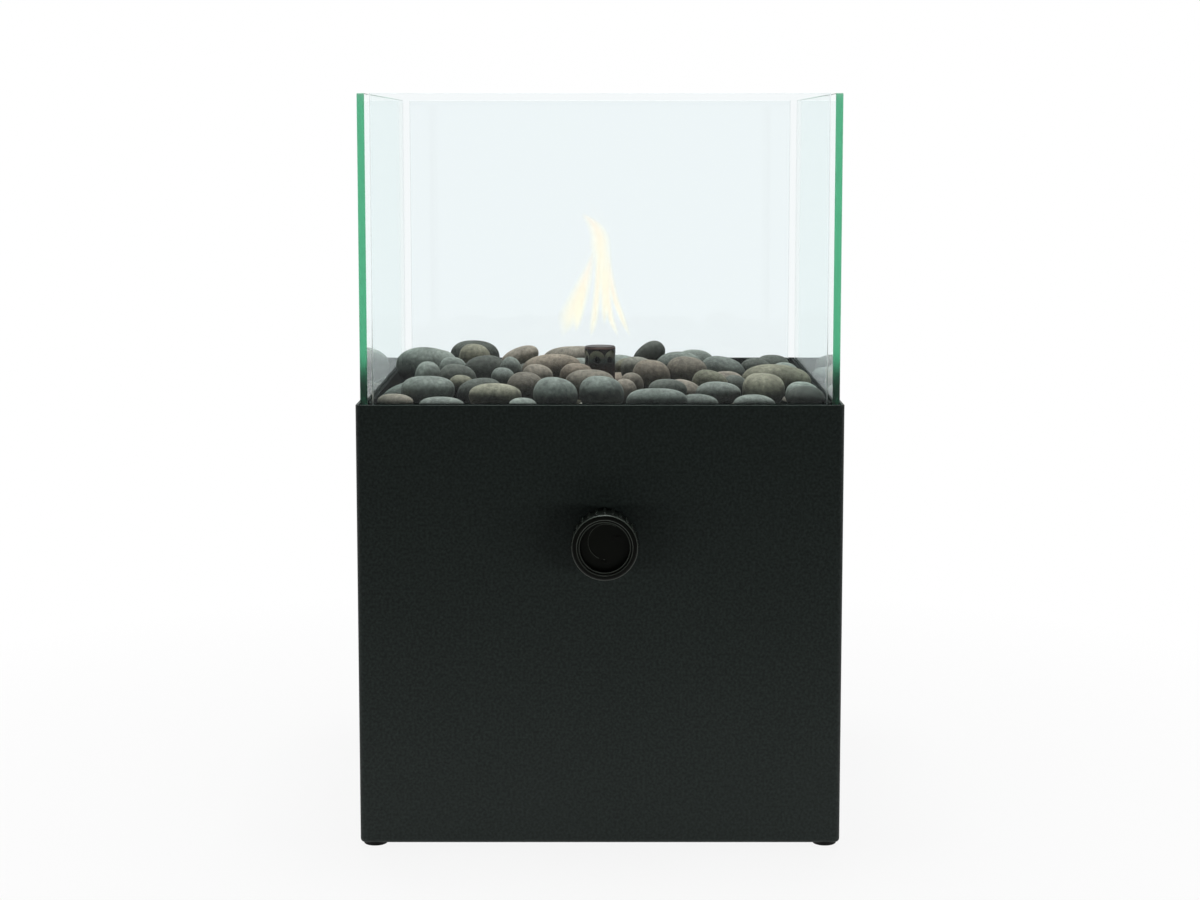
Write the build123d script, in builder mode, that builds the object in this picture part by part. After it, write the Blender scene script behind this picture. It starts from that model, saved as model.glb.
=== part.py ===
"""A square tabletop gas fire: sheet-steel housing, pebble tray, glass panes, burner, valve and gas cartridge.

The frame stands on the table: +Z up, the knob faces -Y, and the burner's axis is the Z axis.
"""
from build123d import *

import math
import os
from itertools import product

import numpy as np

os.makedirs("parts", exist_ok=True)

# Driving dimensions of the housing and its feet, in millimetres
HOUSING_WIDTH = 200.0
HOUSING_HEIGHT = 184.0
SHEET = 1.2
BEND_RADIUS = 2.5
BOTTOM_BEND_RADIUS = 1.6
RIM_ROUND = 0.4
BOTTOM_FLANGE = 15.0
OPENING_CORNER_RADIUS = 6.0
FOOT_DIAMETER = 10.0
FOOT_HEIGHT = 1.5
FOOT_ROUND = 0.5
FOOT_EDGE_MARGIN = 1.0

# Driving dimensions of the panes, the slot they stand in, the tray and its ledges
GLASS_THICKNESS = 3.0
GLASS_RISE = 126.3
GLASS_CLEARANCE = 0.25
GLASS_CORNER_GAP = 2.55
GLASS_ARRIS = 0.2
SLOT_DEPTH = 15.0
TRAY_SHEET = 1.2
TRAY_CORNER_RADIUS = 3.0
LEDGE_SHEET = 1.5
LEDGE_DEPTH = 14.0
LEDGE_DROP = 12.0
LEDGE_END_GAP = 3.0
SCREW_DIAMETER = 3.0
SCREW_HEAD_DIAMETER = 5.5
SCREW_HEAD_HEIGHT = 1.8
SCREW_TIP = 2.0
SCREW_SETBACK = 18.8
SCREW_CLEARANCE = 0.05

# Driving dimensions of the burner
BURNER_RISE = 15.0
HEAD_DIAMETER = 13.9
HEAD_HEIGHT = 19.0
HEAD_FLATS = 12.0
HEAD_CAP = 1.6
HEAD_TURN = -13.3
HEAD_CHAMFER = 0.5
GAS_HOLE_DIAMETER = 3.2
GAS_HOLE_DROP = 6.0
CHAMBER_DIAMETER = 7.0
TUBE_DIAMETER = 8.0
TUBE_BORE = 5.6
TUBE_SOCKET = 8.0
AIR_HOLE_DIAMETER = 2.4
NUT_FLATS = 13.0
NUT_HEIGHT = 5.0
NUT_CHAMFER = 0.6
THREAD_CLEARANCE = 0.05
JET_DIAMETER = 5.0
JET_SHANK_DIAMETER = 3.6
JET_HEAD = 4.0
JET_SHANK = 3.0
JET_ORIFICE = 0.6

# Driving dimensions of the valve and its cartridge connection
KNOB_OFFSET = 1.9
KNOB_DROP = 56.0
BARREL_DIAMETER = 22.0
BARREL_ABOVE = 15.0
BARREL_BELOW = 14.0
BOSS_DIAMETER = 14.0
BOSS_REACH = 30.0
NEEDLE_BORE = 6.0
NEEDLE_CLEARANCE = 0.3
NEEDLE_FLAT = 2.1
NEEDLE_TAIL_DIAMETER = 3.0
NEEDLE_TAIL = 9.0
NEEDLE_TIP_DIAMETER = 1.2
NEEDLE_CONE = 4.0
NEEDLE_OPENING = 0.32
NEEDLE_GAP = 2.7
SEAT_BORE = 2.4
SEAT_LENGTH = 5.0
SEAT_SETBACK = 3.0
GAS_WAY_DIAMETER = 2.2
GAS_WAY_INSET = 1.5
COLLAR_DIAMETER = 30.0
COLLAR_OVERLAP = 4.0
COLLAR_DROP = 12.0
COLLAR_CHAMFER = 1.0
CARTRIDGE_THREAD = 11.0
CARTRIDGE_CLEARANCE = 0.1
SEAL_THICKNESS = 2.0
SEAL_BORE = 6.0
DEPRESSOR_DIAMETER = 9.0
DEPRESSOR_PLATE = 1.5
DEPRESSOR_PIN = 2.4
DEPRESSOR_REACH = 7.0
DEPRESSOR_HOLE = 1.4
DEPRESSOR_HOLE_CIRCLE = 5.4
GLAND_FLATS = 18.0
GLAND_OVERLAP = 6.0
GLAND_REACH = 6.0
GLAND_WALL = 3.0
SPINDLE_DIAMETER = 6.0
SPINDLE_COLLAR_DIAMETER = 8.6
SPINDLE_COLLAR = 13.0
SPINDLE_END_PLAY = 0.3
SPINDLE_BORE_DEPTH = 10.0
SPINDLE_FLAT = 2.2
SPINDLE_SEAL_DIAMETER = 10.8
RUNNING_CLEARANCE = 0.05
BUSH_DIAMETER = 10.0
BUSH_FLANGE_DIAMETER = 15.0
BUSH_FLANGE = 1.5
BUSH_PROUD = 0.5

# Driving dimensions of the knob
KNOB_DIAMETER = 26.0
KNOB_RING_DIAMETER = 27.0
KNOB_LENGTH = 16.0
KNOB_GAP = 1.5
KNOB_RING = 4.5
KNOB_RING_ROUND = 0.9
KNOB_RING_WIDTH = 2.3
KNOB_STEP_WIDTH = 1.0
KNOB_STEP_DROP = 0.8
KNOB_RECESS = 3.0
KNOB_FACE = 2.5
KNOB_SKIRT = 1.6
KNOB_HUB_DIAMETER = 11.0
KNOB_HUB_GAP = 1.5
RIB_DIAMETER = 1.3
RIB_PROUD = 0.4
RIB_COUNT = 24
MARK_RAISE = 0.4
MARK_WIDTH = 0.7
MARK_LENGTH = 2.6

# Driving dimensions of the gas cartridge
CAN_DIAMETER = 108.0
CAN_HEIGHT = 90.0
CAN_WALL = 0.6
CAN_SHOULDER = 18.0
CAN_SHOULDER_RADIUS = 22.0
CAN_NECK_DIAMETER = 36.0
CAN_NECK_RIM = 2.2
CAN_CUP_DEPTH = 2.5
CAN_BASE_RISE = 8.0
CAN_BASE_RIM = 4.0
CAN_FOOT_ROUND = 2.0
CUP_FLANGE_DIAMETER = 22.0
CUP_FLANGE = 1.4
CAN_VALVE_BORE = 4.0
CAN_VALVE_BORE_DEPTH = 8.0

# Driving values of the pebbles: their size as a share of the tray's half-width, and the gap between them
PEBBLE_SIZE_SHARE = 0.2125
PEBBLE_GAP = 0.35
CUT_OVERRUN = 2.0

# The wedge on the knob's face widens from its narrow end to its wide end; angles from +X, seen from the front
WEDGE_NARROW_ANGLE = 62.0
WEDGE_WIDE_ANGLE = 244.0
WEDGE_OUTER_SHARE = 0.95
WEDGE_NARROW_SHARE = 0.92
WEDGE_MIDDLE_SHARE = 0.72
WEDGE_WIDE_SHARE = 0.50
PLUS_ANGLE = 268.0
MINUS_ANGLE = 38.0
MARK_RADIUS_SHARE = 0.62

# The top stones, laid in this order: across and back as shares of the tray's half-width; length, breadth
# and height as shares of the pebble size; turn and lean in degrees; the height wanted for the stone's top
# over the rim, as a share of the pebble size; and tone
TOP_STONE_SHARES = [
    (-0.91, -0.90, 0.80, 0.60, 0.40, 8, 0, 0.09, "brown"),
    (-0.69, -0.92, 0.95, 0.50, 0.34, 0, 0, 0.01, "grey"),
    (-0.34, -0.92, 0.60, 0.50, 0.38, 0, 0, 0.08, "grey"),
    (0.435, -0.91, 0.85, 0.50, 0.40, -5, 0, 0.10, "grey"),
    (0.68, -0.92, 0.88, 0.50, 0.44, 5, 0, 0.15, "grey"),
    (0.92, -0.83, 0.80, 0.80, 0.52, -20, 0, 0.25, "dark"),
    (-0.775, -0.80, 1.14, 0.75, 0.62, 0, 0, 0.43, "grey"),
    (-0.48, -0.84, 1.13, 0.62, 0.56, 3, 0, 0.35, "olive"),
    (-0.20, -0.84, 0.94, 0.80, 0.78, 0, 0, 0.50, "grey"),
    (0.005, -0.84, 0.94, 0.80, 0.76, 0, 0, 0.47, "grey"),
    (0.23, -0.86, 1.28, 0.64, 0.56, 0, 0, 0.31, "grey"),
    (0.535, -0.80, 1.00, 0.70, 0.52, -4, 0, 0.32, "grey"),
    (0.745, -0.78, 0.90, 0.82, 0.74, 0, 0, 0.50, "olive"),
    (0.115, -0.70, 0.52, 0.50, 0.66, 0, 0, 0.31, "brown"),
    (-0.32, -0.67, 0.86, 0.80, 0.74, 0, 0, 0.51, "brown"),
    (-0.545, -0.64, 1.00, 0.66, 0.58, 15, 10, 0.34, "dark"),
    (-0.63, -0.54, 0.56, 0.48, 0.44, -8, 0, 0.30, "olive"),
    (0.38, -0.68, 0.82, 0.58, 0.58, -30, -12, 0.32, "brown"),
    (0.285, -0.64, 0.84, 0.56, 0.54, 0, 0, 0.39, "dark"),
    (0.92, -0.62, 0.72, 0.66, 0.54, 0, 0, 0.23, "grey"),
    (-0.88, -0.64, 1.68, 0.62, 0.52, 30, 12, 0.45, "grey"),
    (-0.445, -0.50, 0.52, 0.46, 0.54, 0, 0, 0.47, "grey"),
    (-0.03, -0.53, 1.10, 0.72, 0.66, 0, 0, 0.45, "brown"),
    (0.50, -0.47, 0.80, 0.58, 0.62, -20, -10, 0.49, "olive"),
    (0.605, -0.50, 0.58, 0.54, 0.56, 0, 0, 0.32, "dark"),
    (0.825, -0.38, 1.55, 0.86, 0.70, -5, 0, 0.51, "olive"),
    (-0.66, -0.30, 0.86, 0.66, 0.80, 0, 0, 0.51, "dark"),
    (-0.31, -0.35, 0.72, 0.66, 0.72, 0, 0, 0.51, "brown"),
    (-0.79, -0.22, 0.60, 0.60, 0.80, 0, 0, 0.54, "grey"),
    (0.145, -0.36, 0.52, 0.46, 0.62, 20, 0, 0.43, "brown"),
    (0.60, -0.25, 0.84, 0.58, 0.54, 0, 0, 0.32, "brown"),
    (-0.53, -0.16, 0.98, 0.76, 0.86, 12, 8, 0.60, "dark"),
    (-0.40, -0.24, 0.50, 0.50, 0.66, 0, 0, 0.60, "grey"),
    (-0.11, -0.22, 0.78, 0.58, 0.64, 0, 0, 0.44, "brown"),
    (0.24, -0.18, 0.86, 0.80, 0.82, 0, 0, 0.62, "brown"),
    (0.41, -0.20, 0.94, 0.78, 0.78, 0, 0, 0.60, "brown"),
    (-0.69, -0.05, 0.70, 0.60, 0.82, 0, 0, 0.49, "grey"),
    (-0.86, 0.12, 1.44, 0.76, 0.90, 0, 0, 0.63, "grey"),
    (-0.25, 0.08, 1.40, 0.80, 0.70, 5, 5, 0.49, "brown"),
    (0.90, 0.00, 0.72, 0.76, 0.64, 0, 0, 0.42, "grey"),
    (0.59, 0.09, 1.05, 0.80, 0.76, -10, -6, 0.48, "grey"),
    (0.16, 0.20, 0.72, 0.56, 0.60, 15, 0, 0.39, "grey"),
    (0.36, 0.10, 0.80, 0.66, 0.48, -15, 0, 0.25, "olive"),
    (0.76, 0.18, 0.76, 0.60, 0.58, 0, 0, 0.37, "dark"),
    (-0.50, 0.16, 0.94, 0.70, 0.52, 30, 0, 0.25, "olive"),
    (-0.10, 0.34, 1.00, 0.66, 0.46, -20, 0, 0.25, "grey"),
    (0.16, 0.42, 0.96, 0.70, 0.46, 10, 0, 0.25, "olive"),
    (-0.34, 0.32, 0.86, 0.64, 0.48, 20, 0, 0.25, "dark"),
    (-0.84, 0.42, 1.05, 0.76, 0.68, 10, 0, 0.48, "grey"),
    (-0.61, 0.44, 0.78, 0.76, 0.88, 0, 0, 0.59, "olive"),
    (0.39, 0.37, 1.16, 0.72, 0.78, 0, 2, 0.49, "grey"),
    (0.88, 0.46, 0.82, 0.76, 0.64, 0, 0, 0.35, "dark"),
    (-0.42, 0.53, 1.02, 0.66, 0.56, 0, 28, 0.58, "brown"),
    (0.50, 0.58, 0.94, 0.66, 0.66, 0, 0, 0.40, "grey"),
    (-0.64, 0.68, 1.22, 0.76, 0.82, 0, 0, 0.60, "dark"),
    (0.265, 0.62, 0.86, 0.54, 0.60, 0, 44, 0.62, "dark"),
    (-0.15, 0.73, 1.55, 0.76, 0.68, 0, 4, 0.44, "brown"),
    (0.10, 0.66, 0.92, 0.66, 0.52, 0, -6, 0.31, "grey"),
    (0.58, 0.32, 0.82, 0.62, 0.40, 25, 0, 0.15, "brown"),
    (0.92, 0.28, 0.78, 0.62, 0.40, 80, 0, 0.15, "grey"),
    (-0.24, 0.52, 0.80, 0.62, 0.40, 30, 0, 0.15, "grey"),
    (-0.84, 0.68, 0.84, 0.64, 0.42, 50, 0, 0.20, "brown"),
    (-0.42, 0.80, 0.80, 0.62, 0.38, 0, 0, 0.05, "olive"),
    (0.68, 0.50, 0.82, 0.64, 0.38, -30, 0, 0.05, "olive"),
]
BACK_SLIDE_SHARES = (0, 0.12, -0.12, 0.24, -0.24, 0.36, -0.36, 0.48, -0.48)
ACROSS_SLIDE_SHARES = (0, 0.08, -0.08)

# The bottom stones lie flat in staggered rows; sizes, turns and tones repeat along them
BOTTOM_ROWS = 10
BOTTOM_COLUMNS = 8
BOTTOM_SPREAD_SHARE = 0.89
BOTTOM_LENGTH_SHARES = (1.10, 1.02, 1.06, 0.98, 1.14)
BOTTOM_BREADTH_SHARES = (0.88, 0.94, 0.84)
BOTTOM_HEIGHT_SHARES = (0.38, 0.42, 0.34, 0.40)
BOTTOM_TURNS = (0, 10, -12, 20, -18, 5, 14)
TONES = ("grey", "olive", "brown", "dark")
EGG_SHARE = 0.12
SURFACE_POINTS = 240
LONG_STEPS = 5

# Levels and half-widths that follow from the driving dimensions
BASE_LEVEL = FOOT_HEIGHT
RIM_LEVEL = BASE_LEVEL + HOUSING_HEIGHT
LEDGE_LEVEL = RIM_LEVEL - SLOT_DEPTH
FLOOR_LEVEL = LEDGE_LEVEL + TRAY_SHEET
WALL_FACE = HOUSING_WIDTH / 2 - SHEET
PANE_OUTER_FACE = WALL_FACE - GLASS_CLEARANCE
PANE_INNER_FACE = PANE_OUTER_FACE - GLASS_THICKNESS
PANE_WIDTH = 2 * (PANE_INNER_FACE - GLASS_CORNER_GAP)
TRAY_FACE = PANE_INNER_FACE - GLASS_CLEARANCE
TRAY_INSIDE = TRAY_FACE - TRAY_SHEET
PEBBLE_SIZE = TRAY_INSIDE * PEBBLE_SIZE_SHARE
LEDGE_EDGE = WALL_FACE - LEDGE_DEPTH
SCREW_LINE = (LEDGE_EDGE + TRAY_INSIDE) / 2
SCREW_SPACING = 2 * (TRAY_INSIDE - SCREW_SETBACK)

KNOB_HEIGHT = RIM_LEVEL - KNOB_DROP
BARREL_TOP = KNOB_HEIGHT + BARREL_ABOVE
BARREL_BOTTOM = KNOB_HEIGHT - BARREL_BELOW
TUBE_BOTTOM = BARREL_TOP - TUBE_SOCKET
HEAD_TOP = RIM_LEVEL + BURNER_RISE
HEAD_BOTTOM = HEAD_TOP - HEAD_HEIGHT
TUBE_TOP = HEAD_BOTTOM + TUBE_SOCKET
COLLAR_BOTTOM = BARREL_BOTTOM - COLLAR_DROP
SEAL_BOTTOM = BARREL_BOTTOM - SEAL_THICKNESS
CARTRIDGE_TOP = SEAL_BOTTOM - CARTRIDGE_CLEARANCE
CAN_TOP = COLLAR_BOTTOM - CAN_CUP_DEPTH / 2
CAN_BOTTOM = CAN_TOP - CAN_HEIGHT

SPINDLE_COLLAR_FRONT = BOSS_REACH - SPINDLE_END_PLAY
SPINDLE_COLLAR_BACK = SPINDLE_COLLAR_FRONT - SPINDLE_COLLAR
COLLAR_BORE_BACK = SPINDLE_COLLAR_BACK - SPINDLE_END_PLAY
KNOB_BACK = HOUSING_WIDTH / 2 + KNOB_GAP
KNOB_FRONT = KNOB_BACK + KNOB_LENGTH
KNOB_FLOOR = KNOB_FRONT - KNOB_RECESS
KNOB_ROOF = KNOB_FLOOR - KNOB_FACE

# The control axis runs forwards through the knob; on its plane, x is right and y is up
CONTROL_PLANE = Plane(origin=(KNOB_OFFSET, 0, KNOB_HEIGHT), x_dir=(1, 0, 0), z_dir=(0, -1, 0))
CONTROL_PROFILE = Plane(origin=(KNOB_OFFSET, 0, KNOB_HEIGHT), x_dir=(1, 0, 0), z_dir=(0, 0, -1))
CONTROL_AXIS = Axis((KNOB_OFFSET, 0, KNOB_HEIGHT), (0, -1, 0))


def finish(piece, name):
    """Label a finished piece and write it under its own name."""
    piece.part.label = name
    export_step(piece.part, f"parts/{name}.step")


def turned(outline, plane=Plane.XZ, axis=Axis.Z):
    """A lathe-turned piece: a closed outline of radius and length pairs, revolved about its axis."""
    with BuildPart() as piece:
        with BuildSketch(plane):
            with BuildLine():
                Polyline(*outline, close=True)
            make_face()
        revolve(axis=axis)
    return piece


def ring(inner_diameter, outer_diameter, low, high):
    """The outline of a plain ring between two lengths along its axis."""
    inner = inner_diameter / 2
    outer = outer_diameter / 2
    return [(inner, low), (outer, low), (outer, high), (inner, high)]


def sheet_metal_pieces():
    """The housing sleeve, its feet, the ledges, the tray and the screws that hold it."""
    with BuildPart() as housing:
        with BuildSketch(Plane.XY.offset(BASE_LEVEL)):
            RectangleRounded(HOUSING_WIDTH, HOUSING_WIDTH, BEND_RADIUS)
        extrude(amount=HOUSING_HEIGHT)
        fillet(housing.faces().sort_by(Axis.Z)[0].edges(), BOTTOM_BEND_RADIUS)
        with BuildSketch(Plane.XY.offset(BASE_LEVEL + SHEET)):
            RectangleRounded(2 * WALL_FACE, 2 * WALL_FACE, BEND_RADIUS - SHEET)
        extrude(amount=HOUSING_HEIGHT, mode=Mode.SUBTRACT)
        with BuildSketch(Plane.XY.offset(BASE_LEVEL - CUT_OVERRUN)):
            opening = HOUSING_WIDTH - 2 * BOTTOM_FLANGE
            RectangleRounded(opening, opening, OPENING_CORNER_RADIUS)
        extrude(amount=SHEET + 2 * CUT_OVERRUN, mode=Mode.SUBTRACT)
        with BuildSketch(CONTROL_PLANE.offset(WALL_FACE - CUT_OVERRUN)):
            Circle(BUSH_DIAMETER / 2 + THREAD_CLEARANCE)
        extrude(amount=SHEET + 2 * CUT_OVERRUN, mode=Mode.SUBTRACT)
        fillet(housing.faces().sort_by(Axis.Z)[-1].edges(), RIM_ROUND)
    finish(housing, "housing")

    foot_line = HOUSING_WIDTH / 2 - FOOT_EDGE_MARGIN - FOOT_DIAMETER / 2
    with BuildPart() as feet:
        with GridLocations(2 * foot_line, 2 * foot_line, 2, 2):
            Cylinder(FOOT_DIAMETER / 2, FOOT_HEIGHT, align=(Align.CENTER, Align.CENTER, Align.MIN))
        fillet(feet.edges().group_by(Axis.Z)[0], FOOT_ROUND)
    finish(feet, "rubber_feet")

    long_ledge = 2 * (WALL_FACE - LEDGE_END_GAP)
    short_ledge = 2 * (LEDGE_EDGE - LEDGE_END_GAP)
    screw_hole = SCREW_DIAMETER / 2 + SCREW_CLEARANCE
    ledges = {"front_ledge": 0, "right_ledge": 90, "rear_ledge": 180, "left_ledge": 270}
    for name, quarter in ledges.items():
        screwed = quarter in (0, 180)
        length = long_ledge if screwed else short_ledge
        outward = Plane.XZ.rotated((0, 0, quarter))
        with BuildPart() as ledge:
            with BuildSketch(Plane(origin=(0, 0, 0), x_dir=outward.z_dir, z_dir=-outward.x_dir)):
                with BuildLine():
                    Polyline(
                        (LEDGE_EDGE, LEDGE_LEVEL),
                        (WALL_FACE, LEDGE_LEVEL),
                        (WALL_FACE, LEDGE_LEVEL - LEDGE_DROP),
                        (WALL_FACE - LEDGE_SHEET, LEDGE_LEVEL - LEDGE_DROP),
                        (WALL_FACE - LEDGE_SHEET, LEDGE_LEVEL - LEDGE_SHEET),
                        (LEDGE_EDGE, LEDGE_LEVEL - LEDGE_SHEET),
                        close=True,
                    )
                make_face()
            extrude(amount=length / 2, both=True)
            if screwed:
                with BuildSketch(Plane.XY.offset(LEDGE_LEVEL - LEDGE_SHEET)):
                    with GridLocations(SCREW_SPACING, 2 * SCREW_LINE, 2, 2):
                        Circle(screw_hole)
                extrude(amount=LEDGE_SHEET, mode=Mode.SUBTRACT)
        finish(ledge, name)

    with BuildPart() as tray:
        with BuildSketch(Plane.XY.offset(LEDGE_LEVEL)):
            RectangleRounded(2 * TRAY_FACE, 2 * TRAY_FACE, TRAY_CORNER_RADIUS)
        extrude(amount=SLOT_DEPTH)
        with BuildSketch(Plane.XY.offset(FLOOR_LEVEL)):
            RectangleRounded(2 * TRAY_INSIDE, 2 * TRAY_INSIDE, TRAY_CORNER_RADIUS - TRAY_SHEET)
        extrude(amount=SLOT_DEPTH, mode=Mode.SUBTRACT)
        with BuildSketch(Plane.XY.offset(LEDGE_LEVEL)):
            Circle(TUBE_DIAMETER / 2 + THREAD_CLEARANCE)
            with GridLocations(SCREW_SPACING, 2 * SCREW_LINE, 2, 2):
                Circle(screw_hole)
        extrude(amount=TRAY_SHEET, mode=Mode.SUBTRACT)
    finish(tray, "pebble_tray")

    with BuildPart() as screws:
        with BuildSketch(Plane.XY.offset(FLOOR_LEVEL)):
            with GridLocations(SCREW_SPACING, 2 * SCREW_LINE, 2, 2):
                Circle(SCREW_HEAD_DIAMETER / 2)
        extrude(amount=SCREW_HEAD_HEIGHT)
        fillet(screws.edges().group_by(Axis.Z)[-1], SCREW_HEAD_HEIGHT / 2)
        with BuildSketch(Plane.XY.offset(FLOOR_LEVEL)):
            with GridLocations(SCREW_SPACING, 2 * SCREW_LINE, 2, 2):
                Circle(SCREW_DIAMETER / 2)
        extrude(amount=-(TRAY_SHEET + LEDGE_SHEET + SCREW_TIP))
    finish(screws, "tray_screws")


def glass_panes():
    """Four alike panes that stand on the ledges, each lifted out upwards."""
    panes = {"front_glass": 0, "right_glass": 90, "rear_glass": 180, "left_glass": 270}
    for name, quarter in panes.items():
        outward = Plane.XZ.rotated((0, 0, quarter))
        with BuildPart() as pane:
            with BuildSketch(outward.offset(PANE_INNER_FACE)):
                with Locations((0, LEDGE_LEVEL)):
                    Rectangle(PANE_WIDTH, SLOT_DEPTH + GLASS_RISE, align=(Align.CENTER, Align.MIN))
            extrude(amount=GLASS_THICKNESS)
            chamfer(pane.edges(), GLASS_ARRIS)
        finish(pane, name)


def burner_pieces():
    """The burner head on its tube, the lock nuts either side of the tray floor, and the jet below."""
    socket = TUBE_DIAMETER / 2 + THREAD_CLEARANCE
    flat = HEAD_FLATS / 2
    hole_level = HEAD_TOP - GAS_HOLE_DROP
    arch = math.sqrt(HEAD_DIAMETER ** 2 - HEAD_FLATS ** 2) / 2
    with BuildPart() as head:
        with BuildSketch(Plane.XY.offset(HEAD_BOTTOM)):
            Circle(HEAD_DIAMETER / 2)
        extrude(amount=HEAD_HEIGHT)
        chamfer(head.edges().group_by(Axis.Z)[-1], HEAD_CHAMFER)
        for step in range(6):
            turn = math.radians(HEAD_TURN + 60 * step)
            outward = Vector(math.sin(turn), -math.cos(turn), 0)
            across = Vector(math.cos(turn), math.sin(turn), 0)
            facet = Plane(origin=outward * flat + Vector(0, 0, hole_level), x_dir=across, z_dir=outward)
            with BuildSketch(facet):
                with Locations((0, GAS_HOLE_DROP - HEAD_CAP - arch)):
                    Circle(arch)
                    Rectangle(2 * arch, HEAD_HEIGHT, align=(Align.CENTER, Align.MAX))
            extrude(amount=HEAD_DIAMETER / 2, mode=Mode.SUBTRACT)
            with BuildSketch(facet):
                Circle(GAS_HOLE_DIAMETER / 2)
            extrude(amount=-flat, mode=Mode.SUBTRACT)
        with BuildSketch(Plane.XY.offset(HEAD_BOTTOM)):
            Circle(socket)
        extrude(amount=TUBE_SOCKET, mode=Mode.SUBTRACT)
        with BuildSketch(Plane.XY.offset(TUBE_TOP)):
            Circle(CHAMBER_DIAMETER / 2)
        extrude(amount=HEAD_HEIGHT - TUBE_SOCKET - HEAD_CAP, mode=Mode.SUBTRACT)
    finish(head, "burner_head")

    air_level = (BARREL_TOP + LEDGE_LEVEL - NUT_HEIGHT) / 2
    with BuildPart() as tube:
        with BuildSketch(Plane.XY.offset(TUBE_BOTTOM)):
            Circle(TUBE_DIAMETER / 2)
            Circle(TUBE_BORE / 2, mode=Mode.SUBTRACT)
        extrude(amount=TUBE_TOP - TUBE_BOTTOM)
        for side in (Plane.XZ, Plane.YZ):
            with BuildSketch(side):
                with Locations((0, air_level)):
                    Circle(AIR_HOLE_DIAMETER / 2)
            extrude(amount=TUBE_DIAMETER, both=True, mode=Mode.SUBTRACT)
    finish(tube, "burner_tube")

    nuts = {"upper_lock_nut": FLOOR_LEVEL, "lower_lock_nut": LEDGE_LEVEL - NUT_HEIGHT}
    for name, level in nuts.items():
        with BuildPart() as nut:
            with BuildSketch(Plane.XY.offset(level)):
                RegularPolygon(NUT_FLATS / 2, 6, major_radius=False)
            extrude(amount=NUT_HEIGHT)
            chamfer(nut.faces().filter_by(Axis.Z).edges(), NUT_CHAMFER)
            with BuildSketch(Plane.XY.offset(level)):
                Circle(socket)
            extrude(amount=NUT_HEIGHT, mode=Mode.SUBTRACT)
        finish(nut, name)

    jet = turned([
        (JET_ORIFICE / 2, TUBE_BOTTOM - JET_SHANK),
        (JET_SHANK_DIAMETER / 2, TUBE_BOTTOM - JET_SHANK),
        (JET_SHANK_DIAMETER / 2, TUBE_BOTTOM),
        (JET_DIAMETER / 2, TUBE_BOTTOM),
        (JET_DIAMETER / 2, TUBE_BOTTOM + JET_HEAD / 2),
        (JET_SHANK_DIAMETER / 2, TUBE_BOTTOM + JET_HEAD),
        (JET_ORIFICE / 2, TUBE_BOTTOM + JET_HEAD),
    ])
    finish(jet, "gas_jet")


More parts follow.
